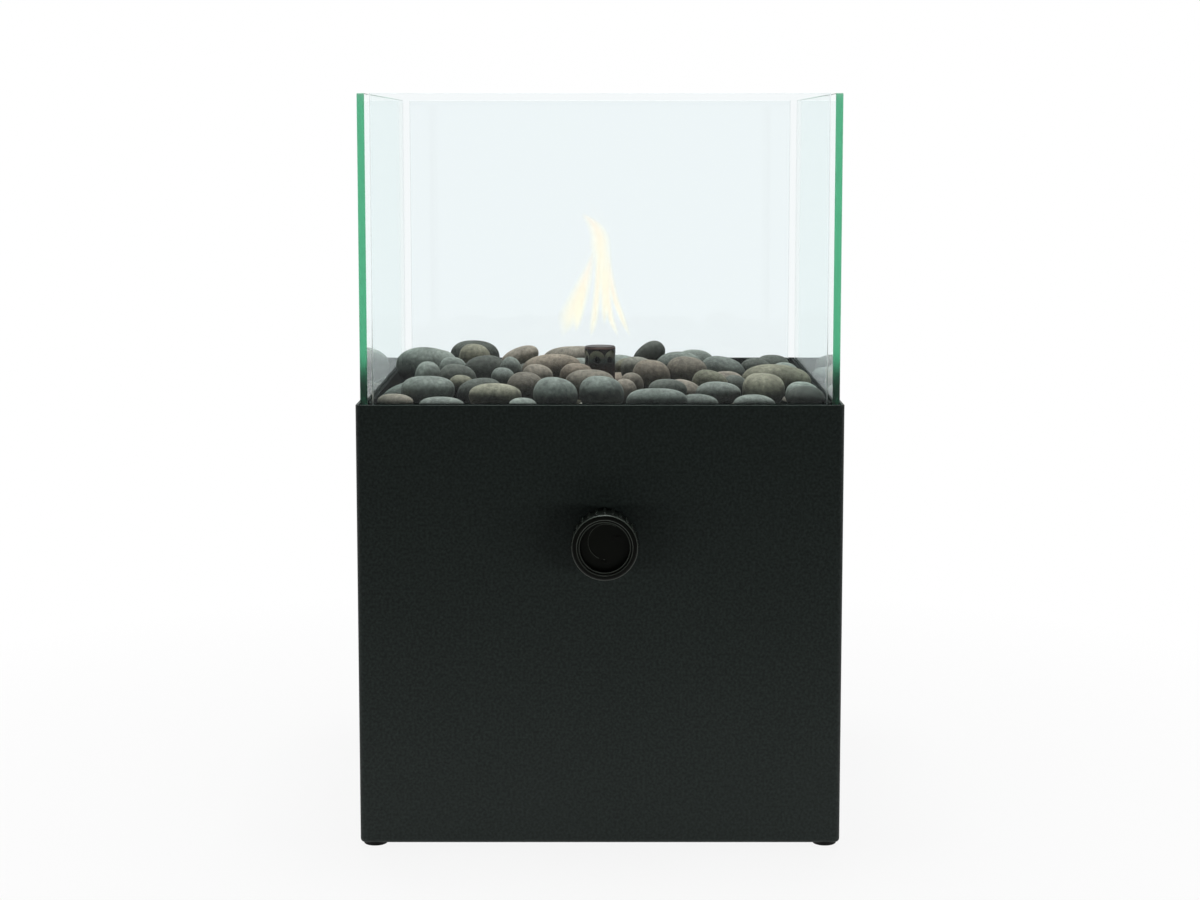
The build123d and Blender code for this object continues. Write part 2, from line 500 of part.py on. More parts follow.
def valve_pieces():
    """The valve body, its needle and spindle, the gland, and the cartridge connection below."""
    collar_bore = SPINDLE_COLLAR_DIAMETER / 2 + RUNNING_CLEARANCE
    shaft_bore = SPINDLE_DIAMETER / 2 + RUNNING_CLEARANCE
    needle_reach = COLLAR_BORE_BACK + SEAT_SETBACK
    with BuildPart() as body:
        with BuildSketch(Plane.XY.offset(BARREL_BOTTOM)):
            Circle(BARREL_DIAMETER / 2)
        extrude(amount=BARREL_TOP - BARREL_BOTTOM)
        with BuildSketch(CONTROL_PLANE):
            Circle(BOSS_DIAMETER / 2)
        extrude(amount=BOSS_REACH)
        with BuildSketch(CONTROL_PLANE.offset(COLLAR_BORE_BACK)):
            Circle(collar_bore)
        extrude(amount=BOSS_REACH, mode=Mode.SUBTRACT)
        with BuildSketch(CONTROL_PLANE.offset(-SEAT_SETBACK)):
            Circle(NEEDLE_BORE / 2)
            with Locations((NEEDLE_FLAT + NEEDLE_CLEARANCE, 0)):
                Rectangle(NEEDLE_BORE, NEEDLE_BORE, align=(Align.MIN, Align.CENTER), mode=Mode.SUBTRACT)
        extrude(amount=needle_reach, mode=Mode.SUBTRACT)
        with BuildSketch(CONTROL_PLANE.offset(-SEAT_SETBACK - SEAT_LENGTH)):
            Circle(SEAT_BORE / 2)
        extrude(amount=SEAT_LENGTH, mode=Mode.SUBTRACT)
        with BuildSketch(Plane.XY.offset(TUBE_BOTTOM)):
            Circle(TUBE_DIAMETER / 2 + THREAD_CLEARANCE)
        extrude(amount=TUBE_SOCKET, mode=Mode.SUBTRACT)
        with BuildSketch(Plane.XY.offset(KNOB_HEIGHT)):
            Circle(JET_SHANK_DIAMETER / 2 + THREAD_CLEARANCE)
        extrude(amount=TUBE_BOTTOM - KNOB_HEIGHT, mode=Mode.SUBTRACT)
        with BuildSketch(Plane.XY.offset(BARREL_BOTTOM)):
            Circle(DEPRESSOR_DIAMETER / 2 + THREAD_CLEARANCE)
        extrude(amount=DEPRESSOR_PLATE, mode=Mode.SUBTRACT)
        way_start = Vector(0, 0, BARREL_BOTTOM + DEPRESSOR_PLATE)
        way_end = Vector(KNOB_OFFSET, SEAT_SETBACK + SEAT_LENGTH - GAS_WAY_INSET, KNOB_HEIGHT)
        way = way_end - way_start
        with BuildSketch(Plane(origin=way_start, z_dir=way)):
            Circle(GAS_WAY_DIAMETER / 2)
        extrude(amount=way.length, mode=Mode.SUBTRACT)
    finish(body, "valve_body")

    guide = NEEDLE_BORE / 2 - NEEDLE_CLEARANCE
    tip = NEEDLE_TIP_DIAMETER / 2
    slope = (guide - tip) / NEEDLE_CONE
    tip_end = -SEAT_SETBACK + NEEDLE_OPENING - (SEAT_BORE / 2 - tip) / slope
    cone_end = tip_end + NEEDLE_CONE
    guide_end = SPINDLE_COLLAR_BACK - NEEDLE_GAP
    tail = NEEDLE_TAIL_DIAMETER / 2
    tail_end = guide_end + NEEDLE_TAIL
    with BuildPart() as needle:
        with BuildSketch(CONTROL_PROFILE):
            with BuildLine():
                Polyline(
                    (0, tip_end),
                    (tip, tip_end),
                    (guide, cone_end),
                    (guide, guide_end),
                    (tail, guide_end),
                    (tail, tail_end),
                    (0, tail_end),
                    close=True,
                )
            make_face()
        revolve(axis=CONTROL_AXIS)
        with BuildSketch(CONTROL_PLANE.offset(tip_end)):
            with Locations((NEEDLE_FLAT, 0)):
                Rectangle(NEEDLE_BORE, NEEDLE_BORE, align=(Align.MIN, Align.CENTER))
        extrude(amount=tail_end - tip_end, mode=Mode.SUBTRACT)
    finish(needle, "valve_needle")

    spindle_end = KNOB_ROOF
    shaft = SPINDLE_DIAMETER / 2
    with BuildPart() as spindle:
        with BuildSketch(CONTROL_PLANE.offset(SPINDLE_COLLAR_BACK)):
            Circle(SPINDLE_COLLAR_DIAMETER / 2)
        extrude(amount=SPINDLE_COLLAR)
        with BuildSketch(CONTROL_PLANE.offset(SPINDLE_COLLAR_BACK)):
            Circle(shaft)
        extrude(amount=spindle_end - SPINDLE_COLLAR_BACK)
        with BuildSketch(CONTROL_PLANE.offset(SPINDLE_COLLAR_BACK)):
            Circle(tail + NEEDLE_CLEARANCE)
        extrude(amount=SPINDLE_BORE_DEPTH, mode=Mode.SUBTRACT)
        with BuildSketch(CONTROL_PLANE.offset(KNOB_BACK)):
            with Locations((0, SPINDLE_FLAT)):
                Rectangle(SPINDLE_DIAMETER, SPINDLE_DIAMETER, align=(Align.CENTER, Align.MIN))
        extrude(amount=KNOB_LENGTH, mode=Mode.SUBTRACT)
    finish(spindle, "valve_spindle")

    gland_back = BOSS_REACH - GLAND_OVERLAP
    gland_length = GLAND_OVERLAP + GLAND_REACH
    seal_pocket = GLAND_REACH - GLAND_WALL
    with BuildPart() as gland:
        with BuildSketch(CONTROL_PLANE.offset(gland_back)):
            RegularPolygon(GLAND_FLATS / 2, 6, major_radius=False)
        extrude(amount=gland_length)
        chamfer(gland.faces().sort_by(Axis.Y)[0].edges(), NUT_CHAMFER)
        with BuildSketch(CONTROL_PLANE.offset(gland_back)):
            Circle(BOSS_DIAMETER / 2 + THREAD_CLEARANCE)
        extrude(amount=GLAND_OVERLAP, mode=Mode.SUBTRACT)
        with BuildSketch(CONTROL_PLANE.offset(BOSS_REACH)):
            Circle(SPINDLE_SEAL_DIAMETER / 2 + RUNNING_CLEARANCE)
        extrude(amount=seal_pocket, mode=Mode.SUBTRACT)
        with BuildSketch(CONTROL_PLANE.offset(BOSS_REACH)):
            Circle(shaft_bore)
        extrude(amount=GLAND_REACH, mode=Mode.SUBTRACT)
    finish(gland, "gland_nut")

    seal_outline = ring(2 * shaft_bore, SPINDLE_SEAL_DIAMETER, BOSS_REACH, BOSS_REACH + seal_pocket)
    finish(turned(seal_outline, CONTROL_PROFILE, CONTROL_AXIS), "spindle_seal")

    bush_flange = BUSH_FLANGE_DIAMETER / 2
    bush_barrel = BUSH_DIAMETER / 2
    bush_front = HOUSING_WIDTH / 2 + BUSH_PROUD
    bush = turned([
        (shaft_bore, WALL_FACE - BUSH_FLANGE),
        (bush_flange, WALL_FACE - BUSH_FLANGE),
        (bush_flange, WALL_FACE),
        (bush_barrel, WALL_FACE),
        (bush_barrel, bush_front),
        (shaft_bore, bush_front),
    ], CONTROL_PROFILE, CONTROL_AXIS)
    finish(bush, "spindle_bush")

    thread_bore = CARTRIDGE_THREAD / 2 + CARTRIDGE_CLEARANCE
    with BuildPart() as collar:
        with BuildSketch(Plane.XY.offset(COLLAR_BOTTOM)):
            Circle(COLLAR_DIAMETER / 2)
        extrude(amount=COLLAR_DROP + COLLAR_OVERLAP)
        chamfer(collar.edges(), COLLAR_CHAMFER)
        with BuildSketch(Plane.XY.offset(COLLAR_BOTTOM)):
            Circle(thread_bore)
        extrude(amount=COLLAR_DROP, mode=Mode.SUBTRACT)
        with BuildSketch(Plane.XY.offset(BARREL_BOTTOM)):
            Circle(BARREL_DIAMETER / 2 + THREAD_CLEARANCE)
        extrude(amount=COLLAR_OVERLAP, mode=Mode.SUBTRACT)
    finish(collar, "inlet_collar")

    finish(turned(ring(SEAL_BORE, CARTRIDGE_THREAD, SEAL_BOTTOM, BARREL_BOTTOM)), "inlet_seal")

    with BuildPart() as depressor:
        with BuildSketch(Plane.XY.offset(BARREL_BOTTOM)):
            Circle(DEPRESSOR_DIAMETER / 2)
            with PolarLocations(DEPRESSOR_HOLE_CIRCLE / 2, 3):
                Circle(DEPRESSOR_HOLE / 2, mode=Mode.SUBTRACT)
        extrude(amount=DEPRESSOR_PLATE)
        with BuildSketch(Plane.XY.offset(BARREL_BOTTOM - DEPRESSOR_REACH)):
            Circle(DEPRESSOR_PIN / 2)
        extrude(amount=DEPRESSOR_REACH)
    finish(depressor, "depressor_pin")


def knob_piece():
    """The cup-shaped knob: a round front ring, a ribbed skirt, a recessed face and raised turning marks."""
    ring_radius = KNOB_RING_DIAMETER / 2
    skirt_radius = KNOB_DIAMETER / 2
    ring_back = KNOB_FRONT - KNOB_RING
    ring_inside = ring_radius - KNOB_RING_WIDTH
    step_inside = ring_inside - KNOB_STEP_WIDTH
    step_level = KNOB_FRONT - KNOB_STEP_DROP
    cavity = skirt_radius - KNOB_SKIRT
    rib_circle = ring_radius + RIB_PROUD - RIB_DIAMETER / 2
    marks = wedge_marks(step_inside)
    with BuildPart() as knob:
        with BuildSketch(CONTROL_PROFILE):
            with BuildLine():
                Polyline(
                    (0, KNOB_ROOF),
                    (cavity, KNOB_ROOF),
                    (cavity, KNOB_BACK),
                    (skirt_radius, KNOB_BACK),
                    (skirt_radius, ring_back),
                    (ring_radius, ring_back),
                    (ring_radius, KNOB_FRONT),
                    (ring_inside, KNOB_FRONT),
                    (ring_inside, step_level),
                    (step_inside, step_level),
                    (step_inside, KNOB_FLOOR),
                    (0, KNOB_FLOOR),
                    close=True,
                )
            make_face()
        revolve(axis=CONTROL_AXIS)
        front_edges = knob.faces().sort_by(Axis.Y)[0].edges().sort_by(SortBy.RADIUS)
        fillet(front_edges[0], KNOB_STEP_DROP / 2)
        front_edges = knob.faces().sort_by(Axis.Y)[0].edges().sort_by(SortBy.RADIUS)
        fillet(front_edges[-1], KNOB_RING_ROUND)
        with BuildSketch(CONTROL_PLANE.offset(KNOB_BACK)):
            with PolarLocations(rib_circle, RIB_COUNT):
                Circle(RIB_DIAMETER / 2)
            Circle(skirt_radius - KNOB_SKIRT / 2, mode=Mode.SUBTRACT)
        extrude(amount=ring_back - KNOB_BACK)
        with Locations(CONTROL_PLANE.offset(ring_back)):
            with PolarLocations(rib_circle, RIB_COUNT):
                Sphere(RIB_DIAMETER / 2)
        with BuildSketch(CONTROL_PLANE.offset(KNOB_BACK + KNOB_HUB_GAP)):
            Circle(KNOB_HUB_DIAMETER / 2)
        extrude(amount=KNOB_ROOF - KNOB_BACK - KNOB_HUB_GAP)
        with BuildSketch(CONTROL_PLANE.offset(KNOB_BACK)):
            Circle(SPINDLE_DIAMETER / 2 + RUNNING_CLEARANCE)
            with Locations((0, SPINDLE_FLAT + RUNNING_CLEARANCE)):
                Rectangle(
                    SPINDLE_DIAMETER + KNOB_GAP,
                    SPINDLE_DIAMETER,
                    align=(Align.CENTER, Align.MIN),
                    mode=Mode.SUBTRACT,
                )
        extrude(amount=KNOB_ROOF - KNOB_BACK, mode=Mode.SUBTRACT)
        with BuildSketch(CONTROL_PLANE.offset(KNOB_FLOOR)):
            add(marks)
        extrude(amount=MARK_RAISE)
    finish(knob, "knob")


def polar(radius, angle):
    """The point at a radius and an angle in degrees."""
    return (radius * math.cos(math.radians(angle)), radius * math.sin(math.radians(angle)))


def wedge_marks(face_radius):
    """A sketch of a tapering crescent, with a plus sign by its wide end and a minus sign by its narrow end."""
    outer = face_radius * WEDGE_OUTER_SHARE
    middle_angle = (WEDGE_NARROW_ANGLE + WEDGE_WIDE_ANGLE) / 2
    mark_radius = face_radius * MARK_RADIUS_SHARE
    with BuildSketch() as marks:
        with BuildLine():
            outer_arc = ThreePointArc(
                polar(outer, WEDGE_NARROW_ANGLE),
                polar(outer, middle_angle),
                polar(outer, WEDGE_WIDE_ANGLE),
            )
            inner_arc = ThreePointArc(
                polar(face_radius * WEDGE_NARROW_SHARE, WEDGE_NARROW_ANGLE),
                polar(face_radius * WEDGE_MIDDLE_SHARE, middle_angle),
                polar(face_radius * WEDGE_WIDE_SHARE, WEDGE_WIDE_ANGLE),
            )
            Line(outer_arc @ 0, inner_arc @ 0)
            Line(outer_arc @ 1, inner_arc @ 1)
        make_face()
        with Locations(polar(mark_radius, PLUS_ANGLE)):
            Rectangle(MARK_LENGTH, MARK_WIDTH)
            Rectangle(MARK_WIDTH, MARK_LENGTH)
        with Locations(polar(mark_radius, MINUS_ANGLE)):
            Rectangle(MARK_LENGTH, MARK_WIDTH)
    return marks.sketch


def cartridge_pieces():
    """The gas cartridge: a drawn can with a domed top and hollow base, and its threaded valve."""
    radius = CAN_DIAMETER / 2
    neck = CAN_NECK_DIAMETER / 2
    shoulder = CAN_TOP - CAN_SHOULDER
    rim = radius - CAN_BASE_RIM
    thread = CARTRIDGE_THREAD / 2
    hole = thread + THREAD_CLEARANCE
    cup_level = CAN_TOP - CAN_CUP_DEPTH
    with BuildPart() as can:
        for wall, mode in ((0, Mode.ADD), (CAN_WALL, Mode.SUBTRACT)):
            side = radius - wall
            cup = neck - CAN_NECK_RIM + wall
            top = CAN_TOP - wall
            floor = CAN_BOTTOM + wall
            base_edge = rim - wall
            base_radius = (base_edge ** 2 + CAN_BASE_RISE ** 2) / (2 * CAN_BASE_RISE)
            base_angle = math.degrees(math.asin(base_edge / base_radius))
            with BuildSketch(Plane.XZ):
                with BuildLine():
                    Polyline(
                        (0, floor + CAN_BASE_RISE),
                        (0, cup_level - wall),
                        (cup, cup_level - wall),
                        (cup, top),
                        (neck - wall, top),
                    )
                    FilletPolyline(
                        (neck - wall, top),
                        (side, shoulder - wall),
                        (side, CAN_BOTTOM + CAN_FOOT_ROUND),
                        radius=CAN_SHOULDER_RADIUS - wall,
                    )
                    Polyline(
                        (side, CAN_BOTTOM + CAN_FOOT_ROUND),
                        (side - CAN_FOOT_ROUND, floor),
                        (base_edge, floor),
                    )
                    CenterArc((0, floor + CAN_BASE_RISE - base_radius), base_radius, 90 - base_angle, base_angle)
                make_face()
            revolve(axis=Axis.Z, mode=mode)
        with BuildSketch(Plane.XY.offset(cup_level - CAN_WALL - CUT_OVERRUN)):
            Circle(hole)
        extrude(amount=CAN_WALL + CAN_CUP_DEPTH + CUT_OVERRUN, mode=Mode.SUBTRACT)
    finish(can, "cartridge_can")

    flange = CUP_FLANGE_DIAMETER / 2
    flange_top = cup_level - CAN_WALL
    bore = CAN_VALVE_BORE / 2
    bore_floor = CARTRIDGE_TOP - CAN_VALVE_BORE_DEPTH
    can_valve = turned([
        (0, flange_top - CUP_FLANGE),
        (flange, flange_top - CUP_FLANGE),
        (flange, flange_top),
        (thread, flange_top),
        (thread, CARTRIDGE_TOP),
        (bore, CARTRIDGE_TOP),
        (bore, bore_floor),
        (0, bore_floor),
    ])
    finish(can_valve, "cartridge_valve")


def unit_points(count):
    """Points spread evenly over a unit sphere along a golden-angle spiral."""
    k = np.arange(count) + 0.5
    height = 1 - 2 * k / count
    turn = k * math.pi * (3 - math.sqrt(5))
    level = np.sqrt(1 - height ** 2)
    return np.stack([level * np.cos(turn), level * np.sin(turn), height], axis=1)


class Stone:
    """An egg-shaped stone: half-length fore and aft of its widest section, half-breadth and half-height."""

    def __init__(self, length, breadth, height, turn, lean, tone):
        self.fore = length / 2 * (1 + EGG_SHARE)
        self.aft = length / 2 * (1 - EGG_SHARE)
        self.across = breadth / 2
        self.up = height / 2
        self.turn = turn
        self.lean = lean
        self.tone = tone
        yaw = math.radians(turn)
        pitch = math.radians(-lean)
        spin = np.array([
            [math.cos(yaw), -math.sin(yaw), 0],
            [math.sin(yaw), math.cos(yaw), 0],
            [0, 0, 1],
        ])
        tip = np.array([
            [math.cos(pitch), 0, math.sin(pitch)],
            [0, 1, 0],
            [-math.sin(pitch), 0, math.cos(pitch)],
        ])
        self.axes = spin @ tip
        self.centre = np.zeros(3)

    def radii(self, local, grow=0.0):
        """The three half-axes that hold at local points, by the half of the egg that each lies in."""
        long = np.where(local[:, 0] > 0, self.fore, self.aft) + grow
        return np.stack([long, np.full_like(long, self.across + grow), np.full_like(long, self.up + grow)], axis=1)

    def put(self, across, back):
        """Set the middle of the stone's length over a place; its widest section lies a little aft of that."""
        self.centre[:2] = np.array([across, back]) - self.axes[:2, 0] * (self.fore - self.aft) / 2

    def surface(self, unit):
        """The stone's surface points, about its own centre."""
        return (unit * self.radii(unit)) @ self.axes.T

    def reach(self, direction):
        """How far the stone reaches from its centre along a direction."""
        local = (self.axes.T @ np.asarray(direction, float)).reshape(1, 3)
        return float(np.linalg.norm(local * self.radii(local)))

    def holds(self, points, grow):
        """Whether any of the points lies inside the stone, grown by a clearance."""
        local = (points - self.centre) @ self.axes
        return bool(np.any(np.sum((local / self.radii(local, grow)) ** 2, axis=1) < 1))


def lay_stones():
    """Lower each stone in turn on to the tray floor and the stones before it, clear of the burner and screws.

    A top stone may slide a little about its place to where its top comes nearest to the wanted height.
    """
    unit = unit_points(SURFACE_POINTS)
    half = TRAY_INSIDE
    stem = NUT_FLATS / math.sqrt(3)
    screws = [(x * SCREW_SPACING / 2, y * SCREW_LINE) for x in (-1, 1) for y in (-1, 1)]
    laid = []

    def keep_inside(stone):
        """Move a stone clear of the tray's walls and of the burner's stem."""
        stem_way = stone.centre[:2].copy()
        distance = max(np.linalg.norm(stem_way), PEBBLE_GAP)
        away = np.append(stem_way / distance, 0)
        clear = stem + PEBBLE_GAP + stone.reach(-away)
        if distance < clear:
            stone.centre += away * (clear - distance)
        for axis in range(2):
            way = np.eye(3)[axis]
            top = half - PEBBLE_GAP - stone.reach(way)
            low = -half + PEBBLE_GAP + stone.reach(-way)
            stone.centre[axis] = min(max(stone.centre[axis], low), top)

    def blocked(stone, surface, near):
        """Whether the stone meets the floor, a screw head or a stone already laid."""
        points = surface + stone.centre
        if stone.centre[2] - stone.reach((0, 0, -1)) < FLOOR_LEVEL + PEBBLE_GAP:
            return True
        for x, y in screws:
            beside = np.hypot(points[:, 0] - x, points[:, 1] - y) < SCREW_HEAD_DIAMETER / 2 + PEBBLE_GAP
            if np.any(points[beside, 2] < FLOOR_LEVEL + SCREW_HEAD_HEIGHT + PEBBLE_GAP):
                return True
        for other, other_points in near:
            if other.holds(points, PEBBLE_GAP) or stone.holds(other_points, PEBBLE_GAP):
                return True
        return False

    def rest(stone):
        """Bring a stone down from above the heap to its first contact, in long steps and then in short ones."""
        surface = stone.surface(unit)
        span = np.abs(surface).max() + PEBBLE_SIZE
        near = [
            (other, points) for other, points in laid
            if np.linalg.norm(other.centre[:2] - stone.centre[:2]) < span
        ]
        tops = [points[:, 2].max() for _, points in near]
        stone.centre[2] = max(tops, default=RIM_LEVEL) + PEBBLE_SIZE
        for step in (LONG_STEPS * PEBBLE_GAP, PEBBLE_GAP):
            while not blocked(stone, surface, near):
                stone.centre[2] -= step
            stone.centre[2] += step

    count = 0
    for row in range(BOTTOM_ROWS):
        for column in range(BOTTOM_COLUMNS - row % 2):
            stone = Stone(
                PEBBLE_SIZE * BOTTOM_LENGTH_SHARES[count % len(BOTTOM_LENGTH_SHARES)],
                PEBBLE_SIZE * BOTTOM_BREADTH_SHARES[count % len(BOTTOM_BREADTH_SHARES)],
                PEBBLE_SIZE * BOTTOM_HEIGHT_SHARES[count % len(BOTTOM_HEIGHT_SHARES)],
                BOTTOM_TURNS[count % len(BOTTOM_TURNS)],
                0,
                TONES[(count * 7 // 3) % len(TONES)],
            )
            across = ((2 * column + row % 2) / (BOTTOM_COLUMNS - 1) - 1) * BOTTOM_SPREAD_SHARE
            back = (2 * row / (BOTTOM_ROWS - 1) - 1) * BOTTOM_SPREAD_SHARE
            stone.put(half * across, half * back)
            keep_inside(stone)
            rest(stone)
            laid.append((stone, stone.surface(unit) + stone.centre))
            count += 1

    for across, back, length, breadth, height, turn, lean, crest, tone in TOP_STONE_SHARES:
        stone = Stone(PEBBLE_SIZE * length, PEBBLE_SIZE * breadth, PEBBLE_SIZE * height, turn, lean, tone)
        wanted = RIM_LEVEL + PEBBLE_SIZE * crest - stone.reach((0, 0, 1))
        places = []
        for back_slide, across_slide in product(BACK_SLIDE_SHARES, ACROSS_SLIDE_SHARES):
            stone.put(half * across + PEBBLE_SIZE * across_slide, half * back + PEBBLE_SIZE * back_slide)
            keep_inside(stone)
            rest(stone)
            places.append(stone.centre.copy())
            if abs(stone.centre[2] - wanted) < PEBBLE_GAP:
                break
        stone.centre = min(places, key=lambda place: abs(place[2] - wanted))
        laid.append((stone, stone.surface(unit) + stone.centre))
    return [stone for stone, _ in laid]


def stone_solid(stone):
    """The egg-shaped solid of a stone: a half outline of two quarter ellipses, turned and then flattened."""
    with BuildPart() as solid:
        with BuildSketch():
            with BuildLine():
                EllipticalCenterArc((0, 0), stone.fore, stone.across, start_angle=0, arc_size=90)
                EllipticalCenterArc((0, 0), stone.aft, stone.across, start_angle=90, arc_size=90)
                Line((-stone.aft, 0), (stone.fore, 0))
            make_face()
        revolve(axis=Axis.X)
        scale(by=(1, 1, stone.up / stone.across))
    turn = Location((0, 0, 0), (0, 0, stone.turn))
    lean = Location((0, 0, 0), (0, -stone.lean, 0))
    return solid.part.solid().moved(Location(tuple(stone.centre)) * turn * lean)


def pebble_pieces():
    """The loose stones, one group of separate solids for each tone."""
    stones = lay_stones()
    for tone in TONES:
        group = Compound(children=[stone_solid(stone) for stone in stones if stone.tone == tone])
        group.label = f"{tone}_pebbles"
        export_step(group, f"parts/{tone}_pebbles.step")
    top = max(stone.centre[2] + stone.reach((0, 0, 1)) for stone in stones)
    print(f"{len(stones)} pebbles, the highest at {top:.1f}")


sheet_metal_pieces()
glass_panes()
burner_pieces()
valve_pieces()
knob_piece()
cartridge_pieces()
pebble_pieces()
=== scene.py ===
"""Looks of the tabletop gas fire: finishes on the CAD pieces, river stones, the flame, light and camera."""
import math

import bpy
import numpy as np
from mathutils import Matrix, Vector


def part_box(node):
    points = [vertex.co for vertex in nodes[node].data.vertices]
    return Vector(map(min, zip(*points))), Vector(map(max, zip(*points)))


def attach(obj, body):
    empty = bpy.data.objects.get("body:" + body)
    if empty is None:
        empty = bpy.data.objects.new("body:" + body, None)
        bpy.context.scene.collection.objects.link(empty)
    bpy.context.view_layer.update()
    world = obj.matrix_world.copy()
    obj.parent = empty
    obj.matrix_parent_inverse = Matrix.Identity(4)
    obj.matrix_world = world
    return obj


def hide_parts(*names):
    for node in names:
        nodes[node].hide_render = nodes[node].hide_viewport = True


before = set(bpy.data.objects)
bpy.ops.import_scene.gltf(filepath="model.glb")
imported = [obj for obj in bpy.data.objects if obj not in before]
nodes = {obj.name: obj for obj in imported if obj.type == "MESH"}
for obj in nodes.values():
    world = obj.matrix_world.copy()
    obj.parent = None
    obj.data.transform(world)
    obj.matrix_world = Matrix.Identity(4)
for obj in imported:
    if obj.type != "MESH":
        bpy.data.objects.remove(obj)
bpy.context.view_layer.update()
MM = 0.001


def linear(hex_colour):
    """sRGB hex to linear red, green, blue and alpha: c/12.92 to 0.04045, then ((c + 0.055)/1.055)^2.4."""
    c = np.array([int(hex_colour[k:k + 2], 16) / 255 for k in (1, 3, 5)])
    value = np.where(c <= 0.04045, c / 12.92, ((c + 0.055) / 1.055) ** 2.4)
    return (*value.tolist(), 1.0)


def add(tree, kind, sockets=None, **settings):
    """Add a node with its settings; a socket takes a value, or a (node, output) pair to link from."""
    made = tree.nodes.new(kind)
    for name, value in settings.items():
        setattr(made, name, value)
    for key, value in (sockets or {}).items():
        if isinstance(value, tuple) and isinstance(value[0], bpy.types.Node):
            tree.links.new(value[0].outputs[value[1]], made.inputs[key])
        else:
            made.inputs[key].default_value = value
    return made


def material(name):
    """A new material with an empty node tree; returns it with the tree."""
    made = bpy.data.materials.new(name)
    made.use_nodes = True
    made.node_tree.nodes.clear()
    return made, made.node_tree


def repeats(size_mm):
    """Texture scale, in repeats per metre, of a pattern whose grains are that many millimetres across."""
    return 1 / (size_mm * MM)


def dress(finish, *names):
    """Give CAD nodes a finish."""
    for name in names:
        nodes[name].data.materials.clear()
        nodes[name].data.materials.append(finish)


def mesh_piece(name, points, faces, finish):
    """A smooth mesh object at the origin from an array of points and a list of face index arrays."""
    mesh = bpy.data.meshes.new(name)
    mesh.from_pydata(points.reshape(-1, 3).tolist(), [], [f for block in faces for f in block.tolist()])
    mesh.polygons.foreach_set("use_smooth", np.ones(len(mesh.polygons), bool))
    mesh.materials.append(finish)
    piece = bpy.data.objects.new(name, mesh)
    bpy.context.scene.collection.objects.link(piece)
    return piece


def closed_skins(rings):
    """Points and faces of closed skins from an array (skins, rings, around, 3).

    Neighbouring rings are joined by quads round the skin, and the first and last ring each by a fan to its
    middle.
    """
    skins, count, around, _ = rings.shape
    ends = rings[:, [0, -1]].mean(axis=2)
    points = np.concatenate([rings.reshape(skins, -1, 3), ends], axis=1)
    low = np.arange(count - 1)[:, None] * around
    high = low + around
    side = np.arange(around)[None, :]
    after = (side + 1) % around
    quads = np.stack([low + side, low + after, high + after, high + side], axis=-1).reshape(-1, 4)
    last = (count - 1) * around
    fans = np.concatenate([
        np.stack([np.full(around, count * around), after[0], side[0]], axis=1),
        np.stack([np.full(around, count * around + 1), last + side[0], last + after[0]], axis=1),
    ])
    shift = np.arange(skins)[:, None, None] * points.shape[1]
    return points, [(quads[None] + shift).reshape(-1, 4), (fans[None] + shift).reshape(-1, 3)]


# Powder coat on the housing, tray and ledges: its peel, grains and slow clouds of gloss, in millimetres. The
# grains are drawn coarser than the real ones, which are too fine to show.

COAT_PEEL = 1.6
COAT_PEEL_DEPTH = 0.25 * MM
COAT_GRAIN = 1.1
COAT_CLOUD = 45.0


def powder_coat(name, dark, pale, roughness, specular):
    """Polyester powder coat on sheet steel: a fine orange-peel skin, near black, with small paler grains."""
    made, tree = material(name)
    place = (add(tree, "ShaderNodeTexCoord"), "Object")
    peel = add(tree, "ShaderNodeTexNoise", {"Vector": place, "Scale": repeats(COAT_PEEL), "Detail": 3.0})
    grain = add(tree, "ShaderNodeTexNoise", {"Vector": place, "Scale": repeats(COAT_GRAIN), "Detail": 2.0})
    cloud = add(tree, "ShaderNodeTexNoise", {"Vector": place, "Scale": repeats(COAT_CLOUD), "Detail": 2.0})
    colour = add(tree, "ShaderNodeValToRGB", {"Fac": (grain, "Fac")})
    for stop, position, tint in zip(colour.color_ramp.elements, (0.35, 0.75), (dark, pale)):
        stop.position = position
        stop.color = linear(tint)
    rough = add(tree, "ShaderNodeMapRange", {
        "Value": (cloud, "Fac"), "To Min": roughness * 0.9, "To Max": roughness * 1.1,
    })
    bump = add(tree, "ShaderNodeBump", {
        "Height": (peel, "Fac"), "Strength": 0.35, "Distance": COAT_PEEL_DEPTH,
    })
    skin = add(tree, "ShaderNodeBsdfPrincipled", {
        "Base Color": (colour, "Color"), "Roughness": (rough, "Result"), "Normal": (bump, "Normal"),
        "Specular IOR Level": specular,
    })
    add(tree, "ShaderNodeOutputMaterial", {"Surface": (skin, "BSDF")})
    return made


# Rubber, plastic, lacquer and gauze, their grain drawn coarser than the real one, which is too fine to show

MOULD_CLOUD = 9.0


